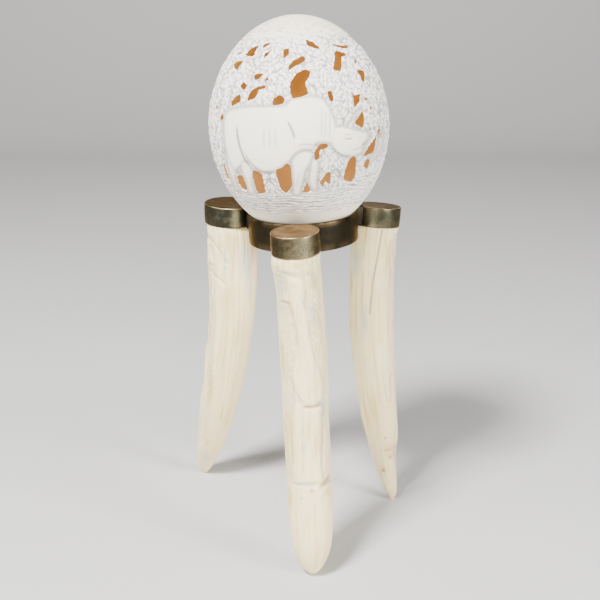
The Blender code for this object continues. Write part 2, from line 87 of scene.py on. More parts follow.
class Value:
    """A number in a shader, which Python's operators turn into Math nodes."""

    def __init__(self, graph: Graph, socket: bpy.types.NodeSocket) -> None:
        """Wraps a socket.

        Args:
            graph: The graph that holds the socket.
            socket: The output socket that carries the number.
        """
        self.graph = graph
        self.socket = socket

    def _math(self, operation: str, first: Operand, second: Operand = None) -> Value:
        """Adds a Math node.

        Args:
            operation: The node's operation.
            first: The first operand.
            second: The second operand, if the operation has one.

        Returns:
            The node's result.
        """
        inputs = {0: first} if second is None else {0: first, 1: second}
        return self.graph.node("ShaderNodeMath", {"operation": operation}, inputs)

    def __add__(self, other: Operand) -> Value:
        """Adds."""
        return self._math("ADD", self, other)

    __radd__ = __add__

    def __sub__(self, other: Operand) -> Value:
        """Subtracts."""
        return self._math("SUBTRACT", self, other)

    def __rsub__(self, other: Operand) -> Value:
        """Subtracts this from a number."""
        return self._math("SUBTRACT", other, self)

    def __mul__(self, other: Operand) -> Value:
        """Multiplies."""
        return self._math("MULTIPLY", self, other)

    __rmul__ = __mul__

    def smooth(self, low: float, high: float) -> Value:
        """Eases from 0 at low to 1 at high.

        Args:
            low: The value that becomes 0.
            high: The value that becomes 1, which may be under low.

        Returns:
            The eased value.
        """
        if low > high:
            return 1 - self.smooth(high, low)
        settings = {"interpolation_type": "SMOOTHSTEP"}
        return self.graph.node("ShaderNodeMapRange", settings, {0: self, 1: low, 2: high, 3: 0.0, 4: 1.0})


Operand = Union[Value, Number, None]


class Graph:
    """A material under construction: its node tree and its Principled shader."""

    def __init__(self, name: str) -> None:
        """Starts a material with only a Principled shader and its output.

        Args:
            name: The material's name.
        """
        self.material = bpy.data.materials.new(name)
        self.material.use_nodes = True
        self.tree = self.material.node_tree
        self.shader = self.tree.nodes["Principled BSDF"]

    def node(
        self,
        kind: str,
        settings: dict[str, object] | None = None,
        inputs: dict[int | str, object] | None = None,
        output: int | str = 0,
    ) -> Value:
        """Adds a node.

        Args:
            kind: The node's type.
            settings: Its properties, which are set before its sockets.
            inputs: Values or links of its input sockets, by index or name.
            output: The output to return.

        Returns:
            The chosen output.
        """
        made = self.tree.nodes.new(kind)
        for key, value in (settings or {}).items():
            setattr(made, key, value)
        for key, value in (inputs or {}).items():
            self.feed(made.inputs[key], value)
        return Value(self, made.outputs[output])

    def feed(self, socket: bpy.types.NodeSocket, value: object) -> None:
        """Links a value to a socket, or sets the socket's constant.

        Args:
            socket: The input socket.
            value: A Value, a number, or a sequence of numbers.
        """
        if isinstance(value, Value):
            self.tree.links.new(value.socket, socket)
            return
        if isinstance(value, Iterable) and not isinstance(value, str):
            value = tuple(value)
            if socket.type == "RGBA" and len(value) == 3:
                value = (*value, 1.0)
        socket.default_value = value

    def surface(self, **inputs: object) -> bpy.types.Material:
        """Feeds the shader and returns the finished material.

        Args:
            **inputs: The shader's sockets, with underscores for spaces.

        Returns:
            The material.
        """
        for key, value in inputs.items():
            self.feed(self.shader.inputs[key.replace("_", " ")], value)
        return self.material

    def place(self, stretch: tuple[float, float, float] = (1, 1, 1), source: str = "") -> Value:
        """Returns the place on the object, or a vector attribute, stretched along its axes.

        Args:
            stretch: The factors on x, y and z.
            source: The attribute to read in place of the object's coordinates.

        Returns:
            The vector.
        """
        if source:
            vector = self.node("ShaderNodeAttribute", {"attribute_name": source}, output="Vector")
        else:
            vector = self.node("ShaderNodeTexCoord", output="Object")
        if stretch == (1, 1, 1):
            return vector
        return self.node("ShaderNodeVectorMath", {"operation": "MULTIPLY"}, {0: vector, 1: stretch})

    def mask(self, name: str) -> Value:
        """Returns a number that the mesh carries at its points.

        Args:
            name: The attribute's name.

        Returns:
            The number.
        """
        return self.node("ShaderNodeAttribute", {"attribute_name": name}, output="Fac")

    def noise(
        self, size: float, detail: float = 3.0, rough: float = 0.5, place: Value | None = None
    ) -> Value:
        """Adds a noise texture.

        Args:
            size: The size of its largest features, in metres.
            detail: The number of finer octaves.
            rough: The strength of the finer octaves.
            place: The vector it is read at, the object's coordinates if left out.

        Returns:
            The noise, about 0.5.
        """
        inputs = {"Vector": place or self.place(), "Scale": 1 / size, "Detail": detail, "Roughness": rough}
        return self.node("ShaderNodeTexNoise", {}, inputs, "Fac")

    def cells(self, size: float, feature: str = "F1") -> Value:
        """Adds a cell texture.

        Args:
            size: The size of a cell, in metres.
            feature: The distance that is returned.

        Returns:
            The distance, in cells.
        """
        inputs = {"Vector": self.place(), "Scale": 1 / size}
        return self.node("ShaderNodeTexVoronoi", {"feature": feature}, inputs, "Distance")

    def mix(self, factor: Value | float, low: object, high: object) -> Value:
        """Mixes two colours.

        Args:
            factor: The share of the second.
            low: The first colour.
            high: The second colour.

        Returns:
            The mixed colour.
        """
        settings = {"data_type": "RGBA", "blend_type": "MIX", "clamp_factor": True}
        return self.node("ShaderNodeMix", settings, {0: factor, 6: low, 7: high}, 2)

    def bump(self, height: Value, depth: float, strength: float = 1.0) -> Value:
        """Adds a bump.

        Args:
            height: The height, from 0 to 1.
            depth: The depth that 1 stands for, in metres.
            strength: How much of the bump shows.

        Returns:
            The normal.
        """
        inputs = {"Height": height, "Distance": depth, "Strength": strength}
        return self.node("ShaderNodeBump", {}, inputs)


# Finishes


@dataclass(frozen=True)
class ShellFinish:
    """The outside of the egg: smooth where the figure is, stippled where it is carved, with painted shade
    in the carving's grooves.
    """

    smooth_colour: Colour = (0.90, 0.82, 0.66)
    cloudy_colour: Colour = (0.90, 0.85, 0.74)
    carved_colour: Colour = (0.90, 0.86, 0.78)
    # The colour of the painted shade in the grooves.
    groove_shade_colour: Colour = (0.24, 0.215, 0.20)
    skin_colour: Colour = (0.80, 0.70, 0.54)
    grain: float = 1.5 * MM
    chip: float = 1.1 * MM
    pore: float = 0.7 * MM
    cloud: float = 22 * MM

    def material(self) -> bpy.types.Material:
        """Returns the material."""
        graph = Graph("carved_shell")
        carved = graph.mask("carved")
        hollow = graph.mask("hollow")
        cloud = graph.noise(self.cloud)
        stipple = graph.cells(self.grain, "SMOOTH_F1")
        chips = graph.noise(self.chip, 4.0, 0.65)
        pores = graph.cells(self.pore).smooth(0.05, 0.3)
        plain = graph.mix(cloud.smooth(0.35, 0.7), self.smooth_colour, self.cloudy_colour)
        outside = graph.mix(carved, plain, self.carved_colour)
        outside = graph.mix(graph.mask("skin") * (0.55 + 0.7 * (cloud - 0.5)), outside, self.skin_colour)
        # Painted shade: the grooves, the moat beside the figure, the figure's bevels and its folds are
        # darkened in colour.
        stain_and_shade = hollow * (0.56 + 0.75 * chips)
        colour = graph.mix(stain_and_shade, outside, self.groove_shade_colour)
        rough_height = carved * (0.5 * stipple + 0.9 * chips) + (1 - carved) * (0.06 * pores)
        normal = graph.bump(rough_height, 0.7 * MM, 0.9)
        roughness = 0.42 + 0.3 * carved + 0.06 * cloud
        return graph.surface(
            Base_Color=colour,
            Roughness=roughness,
            Normal=normal,
            Subsurface_Weight=0.12,
            Subsurface_Radius=(0.004, 0.0025, 0.0015),
        )


@dataclass(frozen=True)
class InsideFinish:
    """The inside of the shell, amber, with painted light (emission) that stands in for the light that
    comes through it.
    """

    bright: Colour = (0.62, 0.345, 0.075)
    deep: Colour = (0.48, 0.24, 0.04)
    pale: Colour = (0.66, 0.43, 0.175)
    cloud: float = 18 * MM
    membrane: float = 2.4 * MM
    painted_glow: float = 0.45

    def material(self) -> bpy.types.Material:
        """Returns the material."""
        graph = Graph("inside_shell")
        cloud = graph.noise(self.cloud)
        colour = graph.mix(cloud.smooth(0.3, 0.7), self.deep, self.bright)
        colour = graph.mix(graph.mask("low") * 0.6, colour, self.pale)
        membrane = graph.noise(self.membrane, 4.0)
        return graph.surface(
            Base_Color=colour,
            Roughness=0.6,
            Normal=graph.bump(membrane, 0.3 * MM, 0.5),
            # Painted light: emission in the shell's own colour.
            Emission_Color=colour,
            Emission_Strength=self.painted_glow,
        )


@dataclass(frozen=True)
class CutFinish:
    """The cut edges of the openings, cream, with painted light (emission) that stands in for light coming
    through them.
    """

    colour: Colour = (0.86, 0.72, 0.55)
    chip: float = 1.1 * MM
    painted_glow: float = 0.28

    def material(self) -> bpy.types.Material:
        """Returns the material."""
        graph = Graph("cut_shell")
        chips = graph.noise(self.chip, 4.0, 0.65)
        return graph.surface(
            Base_Color=self.colour,
            Roughness=0.6,
            Normal=graph.bump(chips, 0.4 * MM, 0.8),
            # Painted light of the cut edges.
            Emission_Color=self.colour,
            Emission_Strength=self.painted_glow,
        )


@dataclass(frozen=True)
class TuskFinish:
    """Tusk: cream, with lengthwise streaks, yellow stains, fine cracked lines and brown pits, and painted
    shade in its carving, in greyish patches and in dark lines where shadow falls.

    Yellowing, greying and the painted shade of the foot run from 0 to 1. The painted shade of the foot
    darkens the tusk a little all over and more towards its foot.
    """

    cream: Colour = (0.96, 0.81, 0.455)
    yellow: Colour = (0.66, 0.47, 0.14)
    stain_and_shade: Colour = (0.60, 0.45, 0.13)
    # Grey of random streaks, and of the greyish patches of painted shade.
    grey: Colour = (0.50, 0.53, 0.50)
    # Brown of fissures and pits, and of the painted shadow lines.
    brown: Colour = (0.20, 0.12, 0.06)
    # The colour of the painted shade towards the foot.
    foot_shade_colour: Colour = (0.66, 0.50, 0.26)
    lined: Colour = (0.58, 0.42, 0.17)
    shaded: Colour = (0.36, 0.29, 0.19)
    streak: float = 3.2 * MM
    band: float = 3.6 * MM
    line: float = 1.7 * MM
    ridge: float = 2.1 * MM
    cloud: float = 26 * MM
    blotch: float = 11 * MM
    yellowing: float = 0.35
    greying: float = 0.25
    foot_shade: float = 0.1

    def material(self, name: str) -> bpy.types.Material:
        """Returns the material.

        Args:
            name: The material's name.

        Returns:
            The material.
        """
        graph = Graph(name)
        grain = graph.place((1, 1, 0.4), "grain")
        streaks = graph.noise(self.streak, 4.0, 0.6, grain)
        fine = graph.noise(self.line, 2.0, 0.5, grain)
        bands = graph.noise(self.band, 2.0, 0.5, grain)
        cloud = graph.noise(self.cloud)
        blotch = graph.noise(self.blotch, 4.0, 0.6)
        stained = bands.smooth(0.42, 0.74) * cloud.smooth(0.36, 0.62) * self.yellowing
        greyed = streaks.smooth(0.48, 0.70) * cloud.smooth(0.62, 0.40) * self.greying
        # Painted shade: the tusk is darker towards its foot, where the light falls off.
        colour = graph.mix(self.foot_shade * (0.35 + graph.mask("foot")), self.cream, self.foot_shade_colour)
        colour = graph.mix(stained * 1.5, colour, self.yellow)
        colour = graph.mix(greyed * 1.3, colour, self.grey)
        colour = graph.mix(blotch.smooth(0.50, 0.75) * 0.3, colour, self.yellow)
        lines = fine.smooth(0.50, 0.68) * graph.mask("grained")
        colour = graph.mix(lines * 0.3, colour, self.lined)
        colour = graph.mix(graph.mask("yellow") * (0.35 + 0.6 * blotch), colour, self.stain_and_shade)
        colour = graph.mix(graph.mask("grey") * (0.5 + 0.5 * blotch), colour, self.grey)
        # Painted shade in the carving's grooves, lines and hollows.
        colour = graph.mix(graph.mask("hollow") * 0.75, colour, self.shaded)
        # Dark lines and pits; some of the lines are painted shadow.
        crack = graph.mask("crack")
        colour = graph.mix(crack, colour, self.brown)
        ridges = graph.noise(self.ridge, 2.0, 0.5, grain)
        height = 0.7 * ridges - 0.5 * lines - 0.6 * crack
        return graph.surface(
            Base_Color=colour,
            Roughness=0.36 + 0.22 * streaks,
            Normal=graph.bump(height, 0.6 * MM, 0.7),
            Subsurface_Weight=0.12,
            Subsurface_Radius=(0.005, 0.003, 0.0015),
            Coat_Weight=0.12,
            Coat_Roughness=0.25,
        )


@dataclass(frozen=True)
class BrassFinish:
    """Aged brass: mottled patina, with bare metal at the edges that hands have cleaned.

    The metal lies under the patina. It shows in a duller colour where hands reach and in the edge colour
    where the edges are bright with wear, except on the right cap, whose top has a painted reflection of
    dark brown surroundings and whose rim has a painted highlight. It shows in a lighter colour in the bars
    of painted highlight where the caps catch the light.
    """

    metal: Colour = (0.060, 0.056, 0.036)
    patina: Colour = (0.018, 0.018, 0.012)
    green: Colour = (0.024, 0.030, 0.018)
    rubbed_and_reflected: Colour = (0.078, 0.040, 0.016)
    # The colour of the painted highlight bars.
    highlight_bars: Colour = (0.27, 0.235, 0.135)
    edge: Colour = (0.42, 0.36, 0.20)
    tint: Colour = (0.80, 0.66, 0.50)
    blotch: float = 7 * MM
    speck: float = 1.3 * MM
    cloud: float = 16 * MM
    brush: float = 0.7 * MM

    def material(self, name: str) -> bpy.types.Material:
        """Returns the material.

        Args:
            name: The material's name.

        Returns:
            The material.
        """
        graph = Graph(name)
        blotch = graph.noise(self.blotch, 5.0, 0.65)
        speck = graph.noise(self.speck, 4.0, 0.7)
        cloud = graph.noise(self.cloud, 2.0)
        worn = graph.mask("worn")
        polish = graph.mask("polish")
        # The painted highlight bars also clear the patina.
        cover = blotch.smooth(0.42, 0.56) * (0.45 + 0.8 * speck) * (1 - 0.75 * polish)
        colour = graph.mix(polish, self.metal, self.highlight_bars)
        colour = graph.mix(cover, colour, self.patina)
        colour = graph.mix(cloud.smooth(0.50, 0.70) * speck.smooth(0.45, 0.62) * 0.6, colour, self.green)
        # Where hands reach, and along the edges, the metal shows; on the right cap these are a painted
        # reflection on the top and a painted highlight along the rim.
        colour = graph.mix(worn.smooth(0.1, 0.7) * (0.7 + 0.4 * speck), colour, self.rubbed_and_reflected)
        colour = graph.mix(worn.smooth(0.84, 0.98) * (0.3 + 0.9 * speck), colour, self.edge)
        brushed = graph.noise(self.brush, 2.0, 0.5, graph.place((1, 1, 0.12)))
        height = 0.5 * blotch + 0.35 * speck + 0.15 * brushed
        return graph.surface(
            Base_Color=colour,
            Metallic=1.0 - 0.25 * cover,
            Roughness=0.24 + 0.16 * cover + 0.1 * speck + 0.1 * worn,
            Normal=graph.bump(height, 0.22 * MM, 0.4),
            Specular_Tint=self.tint,
        )


BRASSES: dict[Tone, BrassFinish] = {
    Tone.RING: BrassFinish(
        metal=(0.026, 0.020, 0.011),
        patina=(0.006, 0.006, 0.004),
        green=(0.020, 0.026, 0.017),
        rubbed_and_reflected=(0.050, 0.034, 0.017),
        edge=(0.10, 0.080, 0.042),
    ),
    Tone.DARK: BrassFinish(),
    Tone.BRONZE: BrassFinish(
        metal=(0.054, 0.042, 0.022),
        patina=(0.012, 0.010, 0.005),
        rubbed_and_reflected=(0.27, 0.175, 0.088),
        edge=(0.40, 0.30, 0.17),
    ),
    # The right cap: the top's colour is a painted reflection of dark brown surroundings, and the bright
    # edge colour a painted highlight along the front of the rim.
    Tone.OLIVE: BrassFinish(
        metal=(0.080, 0.074, 0.044),
        patina=(0.020, 0.021, 0.013),
        rubbed_and_reflected=(0.115, 0.062, 0.038),
        edge=(0.55, 0.48, 0.32),
    ),
}


@dataclass(frozen=True)
class FloorFinish:
    """The plain pale floor."""

    colour: Colour = (0.52, 0.51, 0.50)

    def material(self) -> bpy.types.Material:
        """Returns the material."""
        graph = Graph("pale_floor")
        return graph.surface(Base_Color=self.colour, Roughness=0.7)


# Plane geometry


def smooth_step(values: np.ndarray, low: float, high: float) -> np.ndarray:
    """Eases values from 0 at low to 1 at high, where high may be under low."""
    share = np.clip((values - low) / (high - low), 0, 1)
    return share * share * (3 - 2 * share)


def ease_weights(share: float) -> tuple[float, float, float]:
    """Returns the weights of a cubic's start, its leaving slope and its arriving slope."""
    start = 2 * share**3 - 3 * share**2 + 1
    leave = share**3 - 2 * share**2 + share
    arrive = share**3 - share**2
    return start, leave, arrive


def closed_curve(corners: Outline, step: float) -> np.ndarray:
    """Draws a smooth closed curve through corners.

    Args:
        corners: The corners that it passes through.
        step: The longest distance between two of its points.

    Returns:
        Its points, one row each.
    """
    knots = np.array(corners, float)
    before, after, beyond = np.roll(knots, 1, 0), np.roll(knots, -1, 0), np.roll(knots, -2, 0)
    drawn = []
    for p0, p1, p2, p3 in zip(before, knots, after, beyond):
        length = float(np.hypot(*(p2 - p1)))
        count = max(1, math.ceil(length / step))
        ends = [max(float(np.hypot(*gap)), 1e-9) for gap in (p1 - p0, p3 - p2)]
        leave = (p2 - p0) / (length + ends[0]) * length * 0.8
        arrive = (p3 - p1) / (length + ends[1]) * length * 0.8
        for share in np.arange(count) / count:
            a, b, c = ease_weights(share)
            drawn.append(a * p1 + b * leave + (1 - a) * p2 + c * arrive)
    return np.array(drawn)


def line_distance(spots: np.ndarray, line: np.ndarray, closed: bool) -> np.ndarray:
    """Measures how far spots lie from a line.

    Args:
        spots: The spots, one row each.
        line: The line's points.
        closed: Whether the line's end joins its start.

    Returns:
        The distances.
    """
    ends = np.roll(line, -1, 0) if closed else line[1:]
    starts = line if closed else line[:-1]
    nearest = np.full(len(spots), np.inf)
    for start, end in zip(starts, ends):
        side = end - start
        share = np.clip((spots - start) @ side / max(float(side @ side), 1e-12), 0, 1)
        away = spots - start - share[:, None] * side
        nearest = np.minimum(nearest, (away * away).sum(1))
    return np.sqrt(nearest)


def soft_stroke(spots: np.ndarray, line: Outline, width: float, fade: float = 0.0) -> np.ndarray:
    """Draws a soft stroke along a line.

    Args:
        spots: The spots, one row each.
        line: The line's points.
        width: How far beside the line the stroke falls to about a third.
        fade: The share of the line's length over which each end fades.

    Returns:
        The stroke's strength at each spot, from 0 to 1.
    """
    points = np.array(line, float)
    strength = np.exp(-((line_distance(spots, points, False) / width) ** 2))
    if fade:
        length = float(np.linalg.norm(np.diff(points, axis=0), axis=1).sum())
        for end in (points[0], points[-1]):
            away = np.hypot(spots[:, 0] - end[0], spots[:, 1] - end[1])
            strength = strength * smooth_step(away, 0, fade * length)
    return strength


def inside(spots: np.ndarray, outline: np.ndarray) -> np.ndarray:
    """Tells which spots lie inside a closed outline."""
    crossed = np.zeros(len(spots), bool)
    x, y = spots[:, 0], spots[:, 1]
    for (x0, y0), (x1, y1) in zip(outline, np.roll(outline, -1, 0)):
        if y0 == y1:
            continue
        crossed ^= ((y0 > y) != (y1 > y)) & (x < x0 + (x1 - x0) * (y - y0) / (y1 - y0))
    return crossed


def signed_distance(spots: np.ndarray, outline: np.ndarray) -> np.ndarray:
    """Measures distances from a closed outline, positive inside it."""
    away = line_distance(spots, outline, True)
    return np.where(inside(spots, outline), away, -away)


def moved(points: np.ndarray, place: Matrix) -> np.ndarray:
    """Moves points from a frame's own coordinates to where the frame stands."""
    turn = np.array(place)
    return points @ turn[:3, :3].T + turn[:3, 3]


def noise_at(points: np.ndarray, size: float, octaves: int = 3) -> np.ndarray:
    """Returns fractal noise about 0, at points in space, with features of a size in metres."""
    scaled = points / size
    return np.array([noise.fractal(Vector(point), 0.9, 2.0, octaves) for point in scaled])


def cell_edges(points: np.ndarray, size: tuple[float, float, float]) -> tuple[np.ndarray, np.ndarray]:
    """Lays irregular cells through space.

    Args:
        points: The points, one row each.
        size: The cells' size along each axis.

    Returns:
        How far each point is from its cell's edge, from 0 up, and its cell's own number from 0 to 1.
    """
    scaled = points / np.array(size)
    edge = np.empty(len(points))
    own = np.empty(len(points))
    for index, point in enumerate(scaled):
        reach, centres = noise.voronoi(Vector(point))
        edge[index] = reach[1] - reach[0]
        own[index] = noise.cell(centres[0] * 7.3)
    return edge, own


# Meshes


def mesh_object(
    name: str,
    points: np.ndarray,
    faces: Sequence[Sequence[int]],
    materials: Sequence[bpy.types.Material],
    slots: np.ndarray | None = None,
    masks: dict[str, np.ndarray] | None = None,
    smooth_angle: float = 40.0,
) -> bpy.types.Object:
    """Makes an object of a mesh.

    Args:
        name: The object's name.
        points: The points, one row each.
        faces: The faces, as indices of points.
        materials: The material slots.
        slots: Each face's material slot, 0 if left out.
        masks: Numbers or vectors that the mesh carries at its points, by name.
        smooth_angle: The angle in degrees above which an edge is sharp.

    Returns:
        The object, linked to the scene.
    """
    mesh = bpy.data.meshes.new(name)
    mesh.from_pydata(np.asarray(points).tolist(), [], [list(map(int, face)) for face in faces])
    for material in materials:
        mesh.materials.append(material)
    if slots is not None:
        mesh.polygons.foreach_set("material_index", np.asarray(slots, np.int32))
    for key, values in (masks or {}).items():
        vector = np.ndim(values) == 2
        layer = mesh.attributes.new(key, "FLOAT_VECTOR" if vector else "FLOAT", "POINT")
        layer.data.foreach_set("vector" if vector else "value", np.ravel(values).astype(np.float32))
    mesh.update()
    mesh.shade_smooth()
    mesh.set_sharp_from_angle(angle=math.radians(smooth_angle))
    piece = bpy.data.objects.new(name, mesh)
    bpy.context.scene.collection.objects.link(piece)
    return piece


def install(piece: bpy.types.Object, node: str) -> bpy.types.Object:
    """Puts a piece in the place of a solid of the frame.

    Args:
        piece: The dressed piece.
        node: The node that it replaces.

    Returns:
        The piece.
    """
    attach(piece, "root")
    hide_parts(node)
    return piece


# The eye that the carving's drawing is seen from


@dataclass(frozen=True)
class Eye:
    """The eye in front of the stand, and the 600 by 600 picture that it sees."""

    back: float = 750 * MM
    height: float = 413.9 * MM
    pitch: float = math.radians(17.7)
    focal: float = 1059.0
    middle: tuple[float, float] = (299.5, 300.0)
    size: float = 600.0
    sensor: float = 36.0

    def place(self) -> np.ndarray:
        """Returns the eye's place in the frame."""
        return np.array([STAND_AXIS.x, STAND_AXIS.y - self.back, self.height])

    def axes(self) -> np.ndarray:
        """Returns the directions across, up and ahead, one row each."""
        sine, cosine = math.sin(self.pitch), math.cos(self.pitch)
        return np.array([[1, 0, 0], [0, sine, cosine], [0, cosine, -sine]])

    def rays(self, spots: np.ndarray) -> np.ndarray:
        """Returns the direction of each spot of the picture."""
        across, up, ahead = self.axes()
        right = (spots[:, :1] - self.middle[0]) / self.focal
        down = (spots[:, 1:] - self.middle[1]) / self.focal
        ways = ahead + right * across - down * up
        return ways / np.linalg.norm(ways, axis=1, keepdims=True)

    def picture(self, points: np.ndarray) -> np.ndarray:
        """Returns where the picture shows points of the frame."""
        seen = (points - self.place()) @ self.axes().T
        right = self.middle[0] + self.focal * seen[:, 0] / seen[:, 2]
        down = self.middle[1] - self.focal * seen[:, 1] / seen[:, 2]
        return np.stack([right, down], 1)

    def camera(self) -> bpy.types.Object:
        """Returns the camera at this eye."""
        lens = bpy.data.cameras.new("camera")
        lens.sensor_width = self.sensor
        lens.lens = self.focal * self.sensor / self.size
        lens.clip_start = 0.05
        lens.shift_x = (self.size / 2 - self.middle[0]) / self.size
        item = bpy.data.objects.new("camera", lens)
        item.location = Vector(self.place())
        item.rotation_euler = (math.pi / 2 - self.pitch, 0, 0)
        bpy.context.scene.collection.objects.link(item)
        bpy.context.scene.camera = item
        return item


EYE = Eye()


# The egg


@dataclass(frozen=True)
class Seat:
    """Where the leaning ring stands, and the egg in it."""

    lean: float = math.radians(-2.4)
    x: float = 3.0 * MM
    ring_bottom: float = 223.4 * MM
    egg_bottom: float = 226.2 * MM

    def ring_frame(self) -> Matrix:
        """Returns the ring's frame, whose origin is the middle of its bottom."""
        place = STAND_AXIS + Vector((self.x, 0, self.ring_bottom))
        return Matrix.Translation(place) @ Matrix.Rotation(self.lean, 4, "Y")

    def egg_frame(self) -> Matrix:
        """Returns the egg's frame, whose origin is the egg's bottom."""
        return self.ring_frame() @ Matrix.Translation((0, 0, self.egg_bottom - self.ring_bottom))


SEAT = Seat()


@dataclass(frozen=True)
class EggForm:
    """The uncarved egg: a turned profile, and points on it by azimuth and angle.

    Azimuth 0 is the front. The angle goes from 0 at the egg's bottom to pi at its top. A line of
    sight is searched over eye_reach in steps of eye_step, and the step found is then halved.
    """

    width: float = 128 * MM
    height: float = 153.7 * MM
    skew: float = 0.0124
    narrowing: float = 0.046
    shell: float = 2.0 * MM
    slant: float = 1.7 * MM
    eye_reach: tuple[float, float] = (0.5, 1.0)
    eye_step: float = 0.5 * MM
    halvings: int = 20

    def profile(self, angle: np.ndarray) -> tuple[np.ndarray, np.ndarray]:
        """Returns radius and height above the bottom at angles."""
        rise = -np.cos(angle)
        width = np.exp(self.skew * rise - self.narrowing * rise * rise)
        return self.width / 2 * np.sin(angle) * width, self.height / 2 * (1 + rise)

    def radius(self, height: np.ndarray) -> np.ndarray:
        """Returns the radius at heights above the bottom, 0 beyond the ends."""
        rise = 2 * np.asarray(height, float) / self.height - 1
        radius = self.profile(np.arccos(-np.clip(rise, -1, 1)))[0]
        return np.where(np.abs(rise) >= 1, 0.0, radius)

    def lay(self, azimuth: np.ndarray, angle: np.ndarray, depth: np.ndarray | float) -> np.ndarray:
        """Lays points at depths below the surface.

        Args:
            azimuth: The points' azimuths.
            angle: Their angles.
            depth: Their depths below the uncarved surface.

        Returns:
            The points in the frame, one row each.
        """
        radius, height = self.profile(angle)
        ahead = np.array(self.profile(angle + 1e-4))
        behind = np.array(self.profile(angle - 1e-4))
        along = (ahead - behind) / np.linalg.norm(ahead - behind, axis=0)
        radius = radius - along[1] * depth
        height = height + along[0] * depth
        local = np.stack([radius * np.sin(azimuth), -radius * np.cos(azimuth), height], 1)
        return moved(local, SEAT.egg_frame())

    def seen(self, spots: np.ndarray) -> tuple[np.ndarray, np.ndarray]:
        """Finds the points of the egg that spots of the picture show.

        Args:
            spots: The spots, one row each.

        Returns:
            Their azimuths and angles.
        """
        turn = np.array(SEAT.egg_frame().inverted())
        start = turn[:3, :3] @ EYE.place() + turn[:3, 3]
        ways = EYE.rays(spots) @ turn[:3, :3].T
        low = np.zeros(len(spots))
        high = np.full(len(spots), np.nan)
        for reach in np.arange(*self.eye_reach, self.eye_step):
            point = start + ways * reach
            hit = np.isnan(high) & (np.hypot(point[:, 0], point[:, 1]) < self.radius(point[:, 2]))
            high[hit] = reach
            low[hit] = reach - self.eye_step
        high = np.where(np.isnan(high), sum(self.eye_reach) / 2, high)
        for _ in range(self.halvings):
            middle = (low + high) / 2
            point = start + ways * middle[:, None]
            hit = np.hypot(point[:, 0], point[:, 1]) < self.radius(point[:, 2])
            high = np.where(hit, middle, high)
            low = np.where(hit, low, middle)
        return self.angles(start + ways * high[:, None])

    def angles(self, local: np.ndarray) -> tuple[np.ndarray, np.ndarray]:
        """Returns azimuths and angles of points of the surface, given in the egg's frame."""
        rise = np.clip(2 * local[:, 2] / self.height - 1, -1, 1)
        return np.arctan2(local[:, 0], -local[:, 1]), np.arccos(-rise)

    def slanted(self, azimuth: np.ndarray, angle: np.ndarray) -> tuple[np.ndarray, np.ndarray]:
        """Finds where an opening ends inside, as it is cut along the eye's line of sight.

        Args:
            azimuth: The azimuths of its outline outside.
            angle: The angles there.

        Returns:
            The azimuths and angles of its outline inside.
        """
        point = self.lay(azimuth, angle, 0.0)
        normal = (point - self.lay(azimuth, angle, self.shell)) / self.shell
        way = point - EYE.place()
        way /= np.linalg.norm(way, axis=1, keepdims=True)
        facing = -(way * normal).sum(1, keepdims=True)
        slide = (way + facing * normal) * self.shell / np.maximum(facing, 0.3)
        length = np.maximum(np.linalg.norm(slide, axis=1, keepdims=True), 1e-9)
        slide *= np.minimum(1, self.slant / length) * smooth_step(facing, 0.1, 0.4)
        return self.angles(moved(point + slide, SEAT.egg_frame().inverted()))


def to_map(azimuth: np.ndarray, angle: np.ndarray) -> np.ndarray:
    """Flattens the egg on a plane that keeps angles, with its top in the middle."""
    away = np.tan((math.pi - angle) / 2)
    return np.stack([away * np.sin(azimuth), -away * np.cos(azimuth)], 1)


# The openings of the front are drawn as the eye sees them, in the picture's units.
CANOPY_OPENINGS: tuple[Outline, ...] = (
    (
        (290, 83), (294, 76.5), (300, 71), (306.5, 69.5), (310.5, 72), (305.6, 84), (308, 93.5),
        (292.5, 97.8),
    ),
    ((288, 70.5), (289.5, 64.3), (296, 58.8), (304.8, 55.8), (304.8, 61.2), (295.6, 65.8)),
    ((284, 49), (288.2, 48), (289.6, 52), (287, 56), (283.2, 58)),
    ((305.6, 39.4), (311.7, 41), (320, 47.5), (318.5, 48.6), (308, 45.2)),
    ((327.8, 91), (331.8, 91.8), (334, 98), (332, 101.4), (329, 98.7)),
    ((331, 43.6), (340, 44.6), (348.5, 44.6), (349, 46.8), (342, 47.4)),
    ((336, 50.4), (347, 54.5), (342, 57), (342, 64.3), (340.6, 70.7), (333.8, 69.6), (334.6, 60)),
)
LEFT_LEAF_OPENINGS: tuple[Outline, ...] = (
    ((257.3, 45.2), (255.8, 50.5), (252, 56), (245, 54.4), (249, 49)),
    ((270.6, 42), (268.8, 44.5), (261.8, 47.5), (263.6, 44.2)),
    ((270.8, 50.4), (268.8, 53.8), (264, 57.6), (265, 53.4)),
    ((244.4, 60), (240.5, 63), (236, 69.8), (232.8, 65.8), (234.6, 61.8)),
    ((241.4, 50.6), (239.6, 53.4), (237.4, 53)),
    ((262.8, 72.6), (261.2, 76.6), (255, 80), (254.2, 75)),
    ((266.5, 76.3), (268.6, 79.8), (265, 80.6)),
    ((243.6, 81.8), (246.6, 85.7), (243.6, 89.6), (240.4, 86.5)),
    ((265, 85), (265, 88), (258.9, 90.4), (255, 98), (247.4, 101), (248.4, 94.8), (253, 89)),
    ((239, 94), (240.2, 101), (231.2, 105.8), (231, 101)),
    ((279.5, 94.8), (285, 99.5), (281.8, 104.2), (272.6, 105), (273.6, 98.5)),
)
